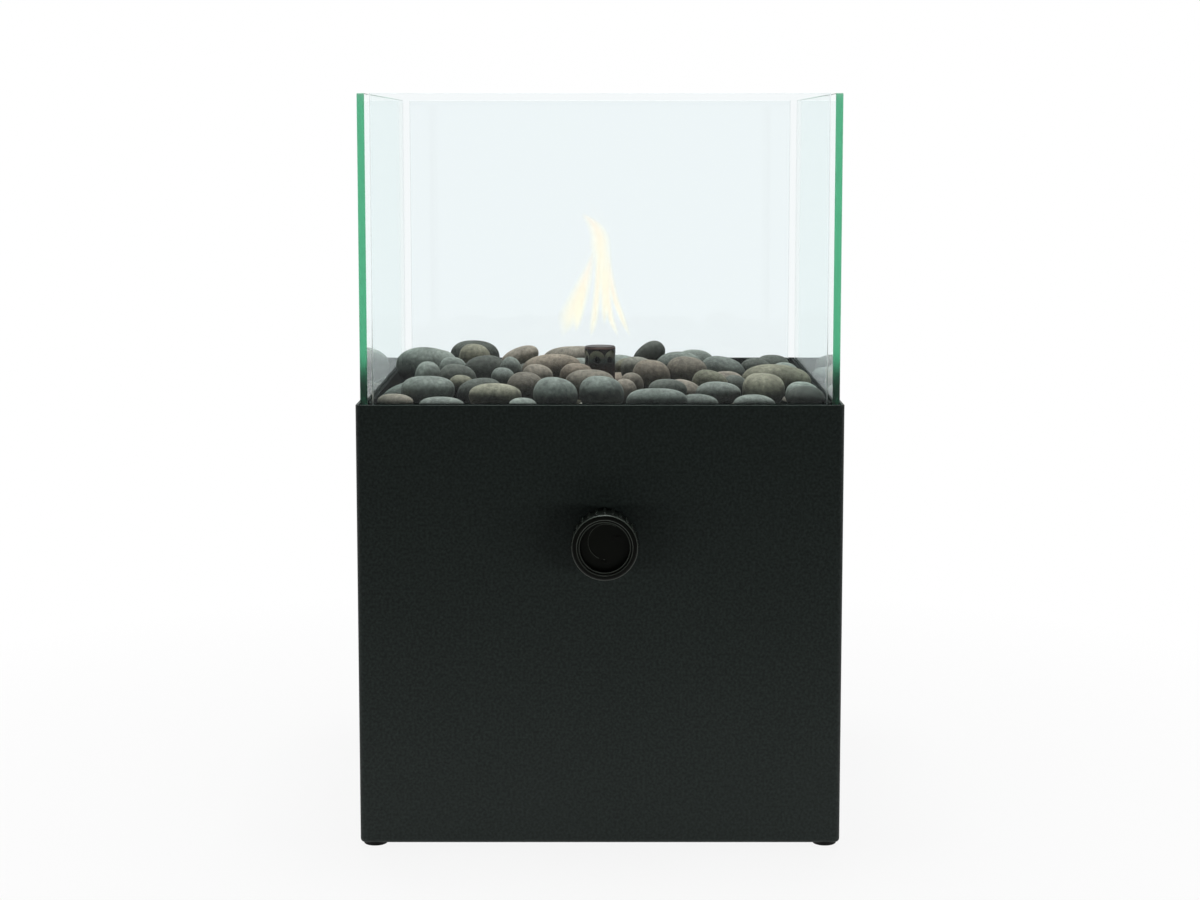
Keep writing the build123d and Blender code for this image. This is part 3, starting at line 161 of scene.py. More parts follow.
def moulded(name, dark, pale, roughness, grain_mm, depth_mm, specular=0.5):
    """Moulded rubber or plastic, lacquer or sooted gauze: one colour with a faint cloud, and a fine grain."""
    made, tree = material(name)
    place = (add(tree, "ShaderNodeTexCoord"), "Object")
    grain = add(tree, "ShaderNodeTexNoise", {"Vector": place, "Scale": repeats(grain_mm), "Detail": 3.0})
    cloud = add(tree, "ShaderNodeTexNoise", {"Vector": place, "Scale": repeats(MOULD_CLOUD), "Detail": 2.0})
    colour = add(tree, "ShaderNodeValToRGB", {"Fac": (cloud, "Fac")})
    for stop, position, tint in zip(colour.color_ramp.elements, (0.3, 0.7), (dark, pale)):
        stop.position = position
        stop.color = linear(tint)
    rough = add(tree, "ShaderNodeMapRange", {
        "Value": (grain, "Fac"), "To Min": roughness * 0.85, "To Max": roughness * 1.15,
    })
    bump = add(tree, "ShaderNodeBump", {"Height": (grain, "Fac"), "Strength": 0.3, "Distance": depth_mm * MM})
    skin = add(tree, "ShaderNodeBsdfPrincipled", {
        "Base Color": (colour, "Color"), "Roughness": (rough, "Result"), "Normal": (bump, "Normal"),
        "Specular IOR Level": specular,
    })
    add(tree, "ShaderNodeOutputMaterial", {"Surface": (skin, "BSDF")})
    return made


# The knob: radius and half-width of each ring painted as a grey highlight line, three points (angle, radius)
# of its wedge's edge, which is painted as a highlight line too, and the grain of its mould, drawn coarser
# than the real one, which is too fine to show

KNOB_HIGHLIGHT_RINGS = ((10.36 * MM, 0.16 * MM), (11.385 * MM, 0.165 * MM), (13.3 * MM, 0.16 * MM))
WEDGE_ANGLES = (62.0, 153.0, 244.0)
WEDGE_RADII = (9.38 * MM, 7.34 * MM, 5.1 * MM)
WEDGE_DEPTH = 2.85 * MM
WEDGE_HIGHLIGHT_LINE = 0.16 * MM
KNOB_BLACK = "#0b0d09"
# Grey of the painted highlight lines along the knob's rings and its wedge's edge
KNOB_PAINTED_HIGHLIGHT = "#484d47"
KNOB_GRAIN = 1.2
KNOB_GRAIN_DEPTH = 0.04 * MM


def wedge_circle():
    """Middle (right, up) from the knob's axis and radius of the circle through the wedge's three edge points.

    The middle is equally far from the points: two linear equations, 2 (p_k - p_0) . m = |p_k|^2 - |p_0|^2.
    """
    angle, radius = np.radians(WEDGE_ANGLES), np.array(WEDGE_RADII)
    p = np.column_stack([radius * np.cos(angle), radius * np.sin(angle)])
    middle = np.linalg.solve(2 * (p[1:] - p[0]), (p[1:] ** 2).sum(axis=1) - (p[0] ** 2).sum())
    return middle.tolist(), float(np.linalg.norm(p[0] - middle))


def phenolic_knob():
    """Compression-moulded phenolic, gloss black, with grey highlight lines painted along its rings and its
    wedge's edge.

    A ring is a band of the distance from the knob's axis, and the wedge's edge a band of the distance from
    the middle of its own circle, on the raised side of the face only.
    """
    made, tree = material("gloss_black_phenolic")
    low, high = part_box("knob")
    hub = ((low[0] + high[0]) / 2, 0.0, (low[2] + high[2]) / 2)
    place = (add(tree, "ShaderNodeTexCoord"), "Object")
    apart = add(tree, "ShaderNodeSeparateXYZ", {"Vector": place})
    away = add(tree, "ShaderNodeVectorMath", {0: place, 1: hub}, operation="SUBTRACT")
    face = add(tree, "ShaderNodeVectorMath", {0: (away, "Vector"), 1: (1, 0, 1)}, operation="MULTIPLY")
    (right, up), wedge_radius = wedge_circle()
    masks = []
    for middle, bands in (((right, 0, up), ((wedge_radius, WEDGE_HIGHLIGHT_LINE),)), ((0, 0, 0), KNOB_HIGHLIGHT_RINGS)):
        spot = add(tree, "ShaderNodeVectorMath", {0: (face, "Vector"), 1: middle}, operation="SUBTRACT")
        out = add(tree, "ShaderNodeVectorMath", {0: (spot, "Vector")}, operation="LENGTH")
        for line, reach in bands:
            mask = add(tree, "ShaderNodeMath", {0: (out, "Value"), 1: line, 2: reach}, operation="COMPARE")
            masks.append((mask, "Value"))
    raised = add(tree, "ShaderNodeMath", {0: (apart, "Y"), 1: low[1] + WEDGE_DEPTH}, operation="LESS_THAN")
    # Painted highlight: grey lines on the wedge's edge, on its raised side, and on every ring
    highlight_lines = add(tree, "ShaderNodeMath", {0: masks[0], 1: (raised, "Value")}, operation="MULTIPLY")
    for ring in masks[1:]:
        highlight_lines = add(tree, "ShaderNodeMath", {0: (highlight_lines, "Value"), 1: ring}, operation="MAXIMUM")
    grain = add(tree, "ShaderNodeTexNoise", {"Vector": place, "Scale": repeats(KNOB_GRAIN), "Detail": 3.0})
    colour = add(tree, "ShaderNodeMix", {
        0: (highlight_lines, "Value"), 6: linear(KNOB_BLACK), 7: linear(KNOB_PAINTED_HIGHLIGHT),
    }, data_type="RGBA")
    rough = add(tree, "ShaderNodeMapRange", {"Value": (grain, "Fac"), "To Min": 0.38, "To Max": 0.48})
    bump = add(tree, "ShaderNodeBump", {
        "Height": (grain, "Fac"), "Strength": 0.3, "Distance": KNOB_GRAIN_DEPTH,
    })
    skin = add(tree, "ShaderNodeBsdfPrincipled", {
        "Base Color": (colour, 2), "Roughness": (rough, "Result"), "Normal": (bump, "Normal"),
        "Specular IOR Level": 0.35,
    })
    add(tree, "ShaderNodeOutputMaterial", {"Surface": (skin, "BSDF")})
    return made


# Plated, turned and ground metals, their tool lines drawn coarser than real ones, which are too fine to show

TOOL_STRETCH = (0.12, 0.12, 1.0)
TOOL_LINE_DEPTH = 0.05 * MM
METAL_CLOUD = 7.0


def worked_metal(name, dark, pale, roughness, line_mm):
    """A turned, drawn or plated metal: fine lines left by the tool in its gloss, and a cloud of dulling."""
    made, tree = material(name)
    place = (add(tree, "ShaderNodeTexCoord"), "Object")
    stretch = add(tree, "ShaderNodeMapping", {"Vector": place, "Scale": TOOL_STRETCH})
    lines = add(tree, "ShaderNodeTexNoise", {
        "Vector": (stretch, "Vector"), "Scale": repeats(line_mm), "Detail": 4.0,
    })
    cloud = add(tree, "ShaderNodeTexNoise", {"Vector": place, "Scale": repeats(METAL_CLOUD), "Detail": 3.0})
    colour = add(tree, "ShaderNodeValToRGB", {"Fac": (cloud, "Fac")})
    for stop, position, tint in zip(colour.color_ramp.elements, (0.3, 0.7), (dark, pale)):
        stop.position = position
        stop.color = linear(tint)
    rough = add(tree, "ShaderNodeMapRange", {
        "Value": (lines, "Fac"), "To Min": roughness * 0.7, "To Max": roughness * 1.4,
    })
    bump = add(tree, "ShaderNodeBump", {
        "Height": (lines, "Fac"), "Strength": 0.2, "Distance": TOOL_LINE_DEPTH,
    })
    skin = add(tree, "ShaderNodeBsdfPrincipled", {
        "Base Color": (colour, "Color"), "Metallic": 1.0, "Roughness": (rough, "Result"),
        "Normal": (bump, "Normal"),
    })
    add(tree, "ShaderNodeOutputMaterial", {"Surface": (skin, "BSDF")})
    return made


# The burner head: how far its milled flats lie from its axis, its heat tints from foot to top with a painted
# highlight and painted shade in them, and the near black painted in its holes as shade

BURNER_FLAT = 6.0 * MM
FLAT_MARGINS = (0.1 * MM, 0.03 * MM)
ROUND_MARGINS = (0.09 * MM, 0.03 * MM)
HOLE_TOP_SHARE = 0.95
SCALE_CLOUD = 3.5
SCALE_DEPTH = 0.15 * MM
# Near black painted inside the holes as shade
HOLE_PAINTED_SHADE = "#050403"
# Flats: heat tints, with a painted highlight in the pale band from 0.78 to 0.88 of the height
FLAT_TINTS_AND_HIGHLIGHT = (
    (0.0, "#3a241b"), (0.45, "#33241c"), (0.58, "#2a2620"), (0.68, "#4a5250"), (0.78, "#6c6d5d"),
    (0.88, "#8f907a"), (0.93, "#6a6654"), (0.99, "#2e211e"),
)
# Round: heat tints, with painted shade in the near-black band under the top
ROUND_TINTS_AND_SHADE = (
    (0.0, "#3a241b"), (0.5, "#2a1f19"), (0.75, "#1a1815"), (0.93, "#1c1613"), (0.965, "#6e524d"),
    (0.99, "#4a3733"),
)


def heat_tint_and_painted_light_steel(low, high):
    """Stainless steel that the flame has scaled: near black on the round, straw on the flats, a rusty rim.
    The pale straw band below the flats' arch tops is in part a painted highlight, the near-black band on the
    round under the top is in part painted shade, and the holes are painted near black as shade.

    The distance from the burner's axis, sqrt(x^2 + y^2), parts the drilled holes, the milled flats and the
    round, and on each the tint follows the height over the head's foot.
    """
    made, tree = material("heat_tinted_and_painted_light_stainless_steel")
    place = (add(tree, "ShaderNodeTexCoord"), "Object")
    apart = add(tree, "ShaderNodeSeparateXYZ", {"Vector": place})
    level = add(tree, "ShaderNodeCombineXYZ", {"X": (apart, "X"), "Y": (apart, "Y")})
    out = add(tree, "ShaderNodeVectorMath", {0: (level, "Vector")}, operation="LENGTH")
    tall = add(tree, "ShaderNodeMapRange", {"Value": (apart, "Z"), "From Min": low[2], "From Max": high[2]})
    cloud = add(tree, "ShaderNodeTexNoise", {"Vector": place, "Scale": repeats(SCALE_CLOUD), "Detail": 5.0})
    tints = []
    for stops in (FLAT_TINTS_AND_HIGHLIGHT, ROUND_TINTS_AND_SHADE):
        tint = add(tree, "ShaderNodeValToRGB", {"Fac": (tall, "Result")})
        ramp = tint.color_ramp.elements
        ramp[0].color = linear(stops[0][1])
        ramp[1].color = linear(stops[-1][1])
        for position, colour in stops[1:]:
            ramp.new(position).color = linear(colour)
        tints.append((tint, "Color"))
    turned = add(tree, "ShaderNodeMapRange", {
        "Value": (out, "Value"),
        "From Min": high[0] - ROUND_MARGINS[0], "From Max": high[0] - ROUND_MARGINS[1],
    })
    outside = add(tree, "ShaderNodeMix", {0: (turned, "Result"), 6: tints[0], 7: tints[1]}, data_type="RGBA")
    # Painted shade: inside the drilled holes the colour goes near black
    bored = add(tree, "ShaderNodeMapRange", {
        "Value": (out, "Value"), "To Min": 1.0, "To Max": 0.0,
        "From Min": BURNER_FLAT - FLAT_MARGINS[0], "From Max": BURNER_FLAT - FLAT_MARGINS[1],
    })
    under = add(tree, "ShaderNodeMath", {0: (tall, "Result"), 1: HOLE_TOP_SHARE}, operation="LESS_THAN")
    hole_shade = add(tree, "ShaderNodeMath", {0: (bored, "Result"), 1: (under, "Value")}, operation="MULTIPLY")
    tinted_and_hole_shade = add(tree, "ShaderNodeMix", {
        0: (hole_shade, "Value"), 6: (outside, 2), 7: linear(HOLE_PAINTED_SHADE),
    }, data_type="RGBA")
    mottle = add(tree, "ShaderNodeMapRange", {
        "Value": (cloud, "Fac"), "From Min": 0.3, "From Max": 0.7, "To Min": 0.6, "To Max": 1.4,
    })
    colour = add(tree, "ShaderNodeVectorMath", {
        0: (tinted_and_hole_shade, 2), "Scale": (mottle, "Result"),
    }, operation="SCALE")
    rough = add(tree, "ShaderNodeMapRange", {"Value": (cloud, "Fac"), "To Min": 0.3, "To Max": 0.6})
    bump = add(tree, "ShaderNodeBump", {"Height": (cloud, "Fac"), "Strength": 0.25, "Distance": SCALE_DEPTH})
    skin = add(tree, "ShaderNodeBsdfPrincipled", {
        "Base Color": (colour, "Vector"), "Metallic": 0.5, "Roughness": (rough, "Result"),
        "Normal": (bump, "Normal"), "Specular IOR Level": 0.2,
    })
    add(tree, "ShaderNodeOutputMaterial", {"Surface": (skin, "BSDF")})
    return made


# The panes: an index below glass's usual 1.52 keeps them faint face on, and iron tints them edge on

GLASS_INDEX = 1.32
GLASS_WHITE = "#fcfdff"
GLASS_SHADOW = (0.95, 0.97, 0.965, 1)
IRON_TINT = (0.06, 0.70, 0.45, 1)
IRON_DENSITY = 14.0
GROUND_EDGE = 0.35 * MM
GROUND_ROUGHNESS = 0.35


def float_glass(name, side, pane):
    """Float glass: clear face on, emerald along its length where iron takes the red; lamps shine through it.

    The cut edges are ground matt: the outermost third of a millimetre along the pane's width and at its top.
    """
    made, tree = material(name)
    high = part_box(pane)[1]
    place = (add(tree, "ShaderNodeTexCoord"), "Object")
    apart = add(tree, "ShaderNodeSeparateXYZ", {"Vector": place})
    across = add(tree, "ShaderNodeMath", {0: (apart, side)}, operation="ABSOLUTE")
    end = high["XYZ".index(side)] - GROUND_EDGE
    ends = add(tree, "ShaderNodeMath", {0: (across, "Value"), 1: end}, operation="GREATER_THAN")
    top = add(tree, "ShaderNodeMath", {0: (apart, "Z"), 1: high[2] - GROUND_EDGE}, operation="GREATER_THAN")
    edge = add(tree, "ShaderNodeMath", {0: (ends, "Value"), 1: (top, "Value")}, operation="MAXIMUM")
    rough = add(tree, "ShaderNodeMath", {0: (edge, "Value"), 1: GROUND_ROUGHNESS}, operation="MULTIPLY")
    body = add(tree, "ShaderNodeBsdfPrincipled", {
        "Base Color": linear(GLASS_WHITE), "Roughness": (rough, "Value"), "IOR": GLASS_INDEX,
        "Transmission Weight": 1.0,
    })
    clear = add(tree, "ShaderNodeBsdfTransparent", {"Color": GLASS_SHADOW})
    ray = add(tree, "ShaderNodeLightPath")
    soft = add(tree, "ShaderNodeMath", {
        0: (ray, "Is Shadow Ray"), 1: (ray, "Is Diffuse Ray"),
    }, operation="MAXIMUM")
    both = add(tree, "ShaderNodeMixShader", {0: (soft, "Value"), 1: (body, "BSDF"), 2: (clear, "BSDF")})
    tint = add(tree, "ShaderNodeVolumeAbsorption", {"Color": IRON_TINT, "Density": IRON_DENSITY})
    add(tree, "ShaderNodeOutputMaterial", {"Surface": (both, "Shader"), "Volume": (tint, "Volume")})
    return made


# Finishes on the CAD pieces

head_low, head_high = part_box("burner_head")
dress(powder_coat("satin_black_powder_coat", "#202523", "#2f3734", roughness=0.56, specular=0.26), "housing")
# Painted shade: the tray and ledges get a darker, duller coat than the housing, as they lie in shade by the
# stones
dress(
    powder_coat("shade_darkened_powder_coat", "#0c0f0e", "#171a19", roughness=0.85, specular=0.1),
    "pebble_tray", "front_ledge", "right_ledge", "rear_ledge", "left_ledge",
)
dress(
    moulded("moulded_rubber", "#0d0d0d", "#161616", roughness=0.75, grain_mm=0.9, depth_mm=0.2, specular=0.3),
    "rubber_feet",
)
dress(
    moulded("nitrile_rubber", "#0c0c0c", "#141414", roughness=0.6, grain_mm=0.9, depth_mm=0.1, specular=0.4),
    "spindle_seal", "inlet_seal",
)
dress(
    moulded("moulded_acetal", "#101010", "#181818", roughness=0.45, grain_mm=0.8, depth_mm=0.1),
    "spindle_bush",
)
dress(phenolic_knob(), "knob")
dress(
    moulded("lacquered_tinplate", "#8d979b", "#99a3a6", roughness=0.32, grain_mm=1.5, depth_mm=0.05),
    "cartridge_can",
)
dress(
    worked_metal("zinc_plated_steel", "#a2a4a4", "#bdbfbd", roughness=0.3, line_mm=0.5),
    "tray_screws", "burner_tube", "upper_lock_nut", "lower_lock_nut",
)
dress(
    worked_metal("turned_brass", "#a98548", "#c9a765", roughness=0.26, line_mm=0.4),
    "gas_jet", "valve_body", "gland_nut", "inlet_collar", "depressor_pin", "cartridge_valve",
)
dress(
    worked_metal("ground_stainless_steel", "#9a9b9c", "#b9babb", roughness=0.22, line_mm=0.3),
    "valve_needle", "valve_spindle",
)
dress(heat_tint_and_painted_light_steel(head_low, head_high), "burner_head")
dress(float_glass("float_glass_front_and_rear", "X", "front_glass"), "front_glass", "rear_glass")
dress(float_glass("float_glass_left_and_right", "Y", "left_glass"), "left_glass", "right_glass")


# Wire gauze in the burner's chamber, under its cap, that keeps the flame from running back

GAUZE_RADIUS = 3.3 * MM
GAUZE_PLEAT = 0.12 * MM
GAUZE_PLEATS = 12
STEPS_PER_PLEAT = 8
GAUZE_FOOT = 8.05 * MM
GAUZE_HEADROOM = 1.9 * MM
GAUZE_CROWN = 0.8 * MM
CROWN_STEPS = 7


def gauze_thimble(finish):
    """A pleated thimble: a tube of radius r + p cos(n turn), drawn in over a quarter circle at its top.

    The parameters are the way up the profile and the turn round the burner's axis.
    """
    foot, head = head_low[2] + GAUZE_FOOT, head_high[2] - GAUZE_HEADROOM
    turn = np.linspace(0, 2 * np.pi, STEPS_PER_PLEAT * GAUZE_PLEATS, endpoint=False)
    bend = np.linspace(0, np.pi / 2, CROWN_STEPS)
    height = np.concatenate([[foot], head - GAUZE_CROWN + GAUZE_CROWN * np.sin(bend)])
    inset = np.concatenate([[0.0], GAUZE_CROWN * (1 - np.cos(bend))])
    radius = GAUZE_RADIUS - inset[:, None] + GAUZE_PLEAT * np.cos(GAUZE_PLEATS * turn)
    rings = np.stack([radius * np.cos(turn), radius * np.sin(turn), height[:, None] + 0 * radius], axis=-1)
    points, faces = closed_skins(rings[None])
    piece = mesh_piece("burner_gauze", points, faces, finish)
    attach(piece, "base")


gauze_thimble(moulded(
    "sooted_wire_gauze", "#050504", "#0c0b0a", roughness=0.9, grain_mm=0.5, depth_mm=0.15, specular=0.1,
))


# River stones: pattern sizes in millimetres, the two ends of each tone, the warm tint by the burner, and the
# painted shade on their undersides

PEBBLE_BANDS = 14.0
PEBBLE_SPECKS = 1.8
PEBBLE_PITS = 2.2
PEBBLE_RELIEF = 0.3 * MM
STONE_TONES = {
    "grey": ("#7a837c", "#97a098"),
    "olive": ("#80816f", "#9b9a87"),
    "brown": ("#827d71", "#9b9487"),
    "dark": ("#565b55", "#6d736b"),
}
HEARTH_TINT = "#a1866c"
HEARTH_REACH = 27 * MM
HEARTH_SHARES = (0.1, 0.8)
# Painted shade on the stones' undersides: its darkest share, and how far up a stone it reaches
UNDERSIDE_SHADE_SHARE = 0.02
UNDERSIDE_SHADE_RISE = 1.02
STONE_RINGS = 22
STONE_AROUND = 40
STONE_POWERS = (2.05, 2.5)
STONE_WAVES = 5
WAVE_SPREAD = 1.5
SWELL_MEAN = 0.985
SWELL_SHARE = 0.016
TINT_SEED_STEP = 100


def river_pebble():
    """Water-worn stone: matt, each of its own tone, with fine mineral specks, soft bands and small pits."""
    made, tree = material("water_worn_pebble")
    place = add(tree, "ShaderNodeTexCoord")
    # Each stone's tint, with the painted shade on its underside in it
    tone = add(tree, "ShaderNodeAttribute", attribute_name="stone_tone")
    own = add(tree, "ShaderNodeAttribute", attribute_name="stone_shift")
    moved = add(tree, "ShaderNodeVectorMath", {0: (place, "Object"), 1: (own, "Vector")}, operation="ADD")
    spot = (moved, "Vector")
    bands = add(tree, "ShaderNodeTexNoise", {
        "Vector": spot, "Scale": repeats(PEBBLE_BANDS), "Detail": 4.0, "Distortion": 0.6,
    })
    specks = add(tree, "ShaderNodeTexNoise", {
        "Vector": spot, "Scale": repeats(PEBBLE_SPECKS), "Detail": 4.0, "Roughness": 0.65,
    })
    pits = add(tree, "ShaderNodeTexVoronoi", {"Vector": spot, "Scale": repeats(PEBBLE_PITS)})
    wide = add(tree, "ShaderNodeMapRange", {
        "Value": (bands, "Fac"), "From Min": 0.3, "From Max": 0.7, "To Min": 0.66, "To Max": 1.26,
    })
    fine = add(tree, "ShaderNodeMapRange", {
        "Value": (specks, "Fac"), "From Min": 0.3, "From Max": 0.7, "To Min": 0.62, "To Max": 1.38,
    })
    shade = add(tree, "ShaderNodeMath", {0: (wide, "Result"), 1: (fine, "Result")}, operation="MULTIPLY")
    colour = add(tree, "ShaderNodeVectorMath", {
        0: (tone, "Color"), "Scale": (shade, "Value"),
    }, operation="SCALE")
    rough = add(tree, "ShaderNodeMapRange", {"Value": (specks, "Fac"), "To Min": 0.62, "To Max": 0.85})
    relief = add(tree, "ShaderNodeMath", {0: (specks, "Fac"), 1: (pits, "Distance")}, operation="ADD")
    bump = add(tree, "ShaderNodeBump", {
        "Height": (relief, "Value"), "Strength": 0.5, "Distance": PEBBLE_RELIEF,
    })
    skin = add(tree, "ShaderNodeBsdfPrincipled", {
        "Base Color": (colour, "Vector"), "Roughness": (rough, "Result"), "Normal": (bump, "Normal"),
        "Specular IOR Level": 0.2,
    })
    add(tree, "ShaderNodeOutputMaterial", {"Surface": (skin, "BSDF")})
    return made


def loose_solids(node):
    """Points, triangles and each point's solid number in a node's mesh of loose solids.

    Triangles that share corners carry the lowest corner number to each other until nothing changes.
    """
    mesh = node.data
    mesh.calc_loop_triangles()
    points = np.empty(len(mesh.vertices) * 3)
    mesh.vertices.foreach_get("co", points)
    corners = np.empty(len(mesh.loop_triangles) * 3, int)
    mesh.loop_triangles.foreach_get("vertices", corners)
    points, same = np.unique(points.reshape(-1, 3).round(6), axis=0, return_inverse=True)
    corners = same.reshape(-1)[corners].reshape(-1, 3)
    label = np.arange(len(points))
    before = None
    while before is None or (label != before).any():
        before = label.copy()
        np.minimum.at(label, corners.ravel(), label[corners].min(axis=1).repeat(3))
        label = label[label]
    _, label = np.unique(label, return_inverse=True)
    return points, corners, label.reshape(-1)


def stone_frames(node):
    """Centre, axes and half-lengths of every loose solid in a node's mesh.

    Each solid's volume and moments are sums over the tetrahedra from its middle to its triangles: det/6,
    det/24 times the corners' sum, and det/120 times the corner products plus the product of their sum. The
    eigenvectors are its axes. An egg whose halves are f and g long has its middle of volume 3/8 of f - g
    along from its widest section.
    """
    points, corners, label = loose_solids(node)
    count = label.max() + 1
    middle = np.zeros((count, 3))
    np.add.at(middle, label, points)
    middle /= np.bincount(label)[:, None]
    owner = label[corners[:, 0]]
    p = points[corners] - middle[owner][:, None]
    det = np.einsum("ij,ij->i", p[:, 0], np.cross(p[:, 1], p[:, 2]))
    total = p.sum(axis=1)
    volume = np.bincount(owner, det) / 6
    first = np.zeros((count, 3))
    np.add.at(first, owner, det[:, None] * total / 24)
    second = np.zeros((count, 3, 3))
    spread = np.einsum("ijk,ijl->ikl", p, p) + total[:, :, None] * total[:, None, :]
    np.add.at(second, owner, det[:, None, None] * spread / 120)
    offset = first / volume[:, None]
    moments = second / volume[:, None, None] - offset[:, :, None] * offset[:, None, :]
    axes = np.linalg.eigh(moments)[1]
    axes[:, :, 0] *= np.sign(np.linalg.det(axes))[:, None]
    middle += offset
    along = np.einsum("ij,ijk->ik", points - middle[label], axes[label])
    ahead = np.full((count, 3), -np.inf)
    behind = np.full((count, 3), -np.inf)
    np.maximum.at(ahead, label, along)
    np.maximum.at(behind, label, -along)
    fore = (ahead + behind) / 2 + 2 * (ahead - behind)
    aft = (ahead + behind) / 2 - 2 * (ahead - behind)
    centre = middle - np.einsum("ij,ikj->ik", 3 / 8 * (fore - aft), axes)
    return centre, axes, fore, aft


def stone_skins(node, seed):
    """Water-worn forms over the stones of a node.

    Each is a superellipsoid, |x|^n + |y|^n + |z|^n = 1 over its half-lengths, swollen and hollowed by a few
    slow sine waves across the stone. The parameters are the angle from its long axis and the turn round it.
    """
    chance = np.random.default_rng(seed)
    centre, axes, fore, aft = stone_frames(node)
    count = len(centre)
    tilt = np.pi * (np.arange(STONE_RINGS) + 0.5) / STONE_RINGS
    turn = 2 * np.pi * np.arange(STONE_AROUND) / STONE_AROUND
    tilt, turn = np.meshgrid(tilt, turn, indexing="ij")
    way = np.stack([np.sin(tilt) * np.cos(turn), np.sin(tilt) * np.sin(turn), np.cos(tilt)], axis=-1)
    power = chance.uniform(*STONE_POWERS, count)[:, None, None]
    reach = (np.abs(way)[None] ** power[..., None]).sum(axis=-1) ** (-1 / power)
    waves = chance.normal(0, WAVE_SPREAD, (count, STONE_WAVES, 3))
    phase = chance.uniform(0, 2 * np.pi, (count, STONE_WAVES))
    swell = np.sin(np.einsum("nwk,abk->nwab", waves, way) + phase[..., None, None]).sum(axis=1)
    reach = reach * (SWELL_MEAN + SWELL_SHARE * swell)
    half = np.where(way[None] > 0, fore[:, None, None], aft[:, None, None])
    local = way[None] * reach[..., None] * half
    return centre, centre[:, None, None] + np.einsum("nabk,nik->nabi", local, axes)


def lay_pebbles(kind, seed, finish):
    """The stones of one tone as one piece, each stone with its own tint and its own place in the pattern.

    The tint lies between the tone's two colours, and warms towards the burner as exp(-(distance / reach)^2).
    Each stone's underside is darkened as painted shade: from the foot of a stone to about its top that
    painted shade clears as t^2 (3 - 2t).
    """
    centre, rings = stone_skins(nodes[f"{kind}_pebbles"], seed)
    points, faces = closed_skins(rings)
    piece = mesh_piece(f"{kind}_river_stones", points, faces, finish)
    chance = np.random.default_rng(seed + TINT_SEED_STEP)
    low, high = (np.array(linear(h)) for h in STONE_TONES[kind])
    tint = low + (high - low) * chance.uniform(0, 1, (len(centre), 1))
    near = np.exp(-(np.hypot(centre[:, 0], centre[:, 1]) / HEARTH_REACH) ** 2)[:, None]
    near = near * chance.uniform(*HEARTH_SHARES, near.shape)
    tint = tint + (np.array(linear(HEARTH_TINT)) - tint) * near
    # Painted shade, darkest at each stone's foot, is multiplied into its tint
    height = points[..., 2]
    foot, head = height.min(axis=1, keepdims=True), height.max(axis=1, keepdims=True)
    rise = np.clip((height - foot) / (head - foot) / UNDERSIDE_SHADE_RISE, 0, 1)
    unshaded_share = UNDERSIDE_SHADE_SHARE + (1 - UNDERSIDE_SHADE_SHARE) * rise ** 2 * (3 - 2 * rise)
    tone = piece.data.attributes.new("stone_tone", "FLOAT_COLOR", "POINT")
    tone.data.foreach_set("color", (tint[:, None] * unshaded_share[..., None]).ravel())
    own = chance.uniform(0, 1, (len(centre), 3)).repeat(points.shape[1], axis=0)
    shift = piece.data.attributes.new("stone_shift", "FLOAT_VECTOR", "POINT")
    shift.data.foreach_set("vector", own.ravel())
    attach(piece, "base")
    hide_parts(f"{kind}_pebbles")


pebble = river_pebble()
for seed, kind in enumerate(STONE_TONES):
    lay_pebbles(kind, seed, pebble)


# The flame: nested veils from the outermost, of full width, to the innermost

FLAME_LOW = head_high[2]
FLAME_STEPS = 30
FLAME_AROUND = 24
FLAME_DEPTH_SHARE = 0.8
FLAME_LEAST_WIDTH = 0.15
FLAME_END_SWELL = 1.6
FLAME_ROUND_SPAN = (0.02, 0.98)
FLAME_FADE_SPAN = (0.03, 0.97)
VEILS = 9
VEIL_LEAST_SHARE = 0.1
VEIL_STRENGTH = 0.105
VEIL_RIM_LOSS = 0.65
VEIL_SHARES = np.linspace(1.0, VEIL_LEAST_SHARE, VEILS)
VEIL_STRENGTHS = VEIL_STRENGTH * (1 - VEIL_RIM_LOSS * VEIL_SHARES ** 2)
VEIL_INSET_SHARE = 0.16
VEIL_SHORTENING = 1.6
RIM_FLAME = "#fdfbda"
HEART_FLAME = "#fde5d5"
FLAME_GLOW = 1.19

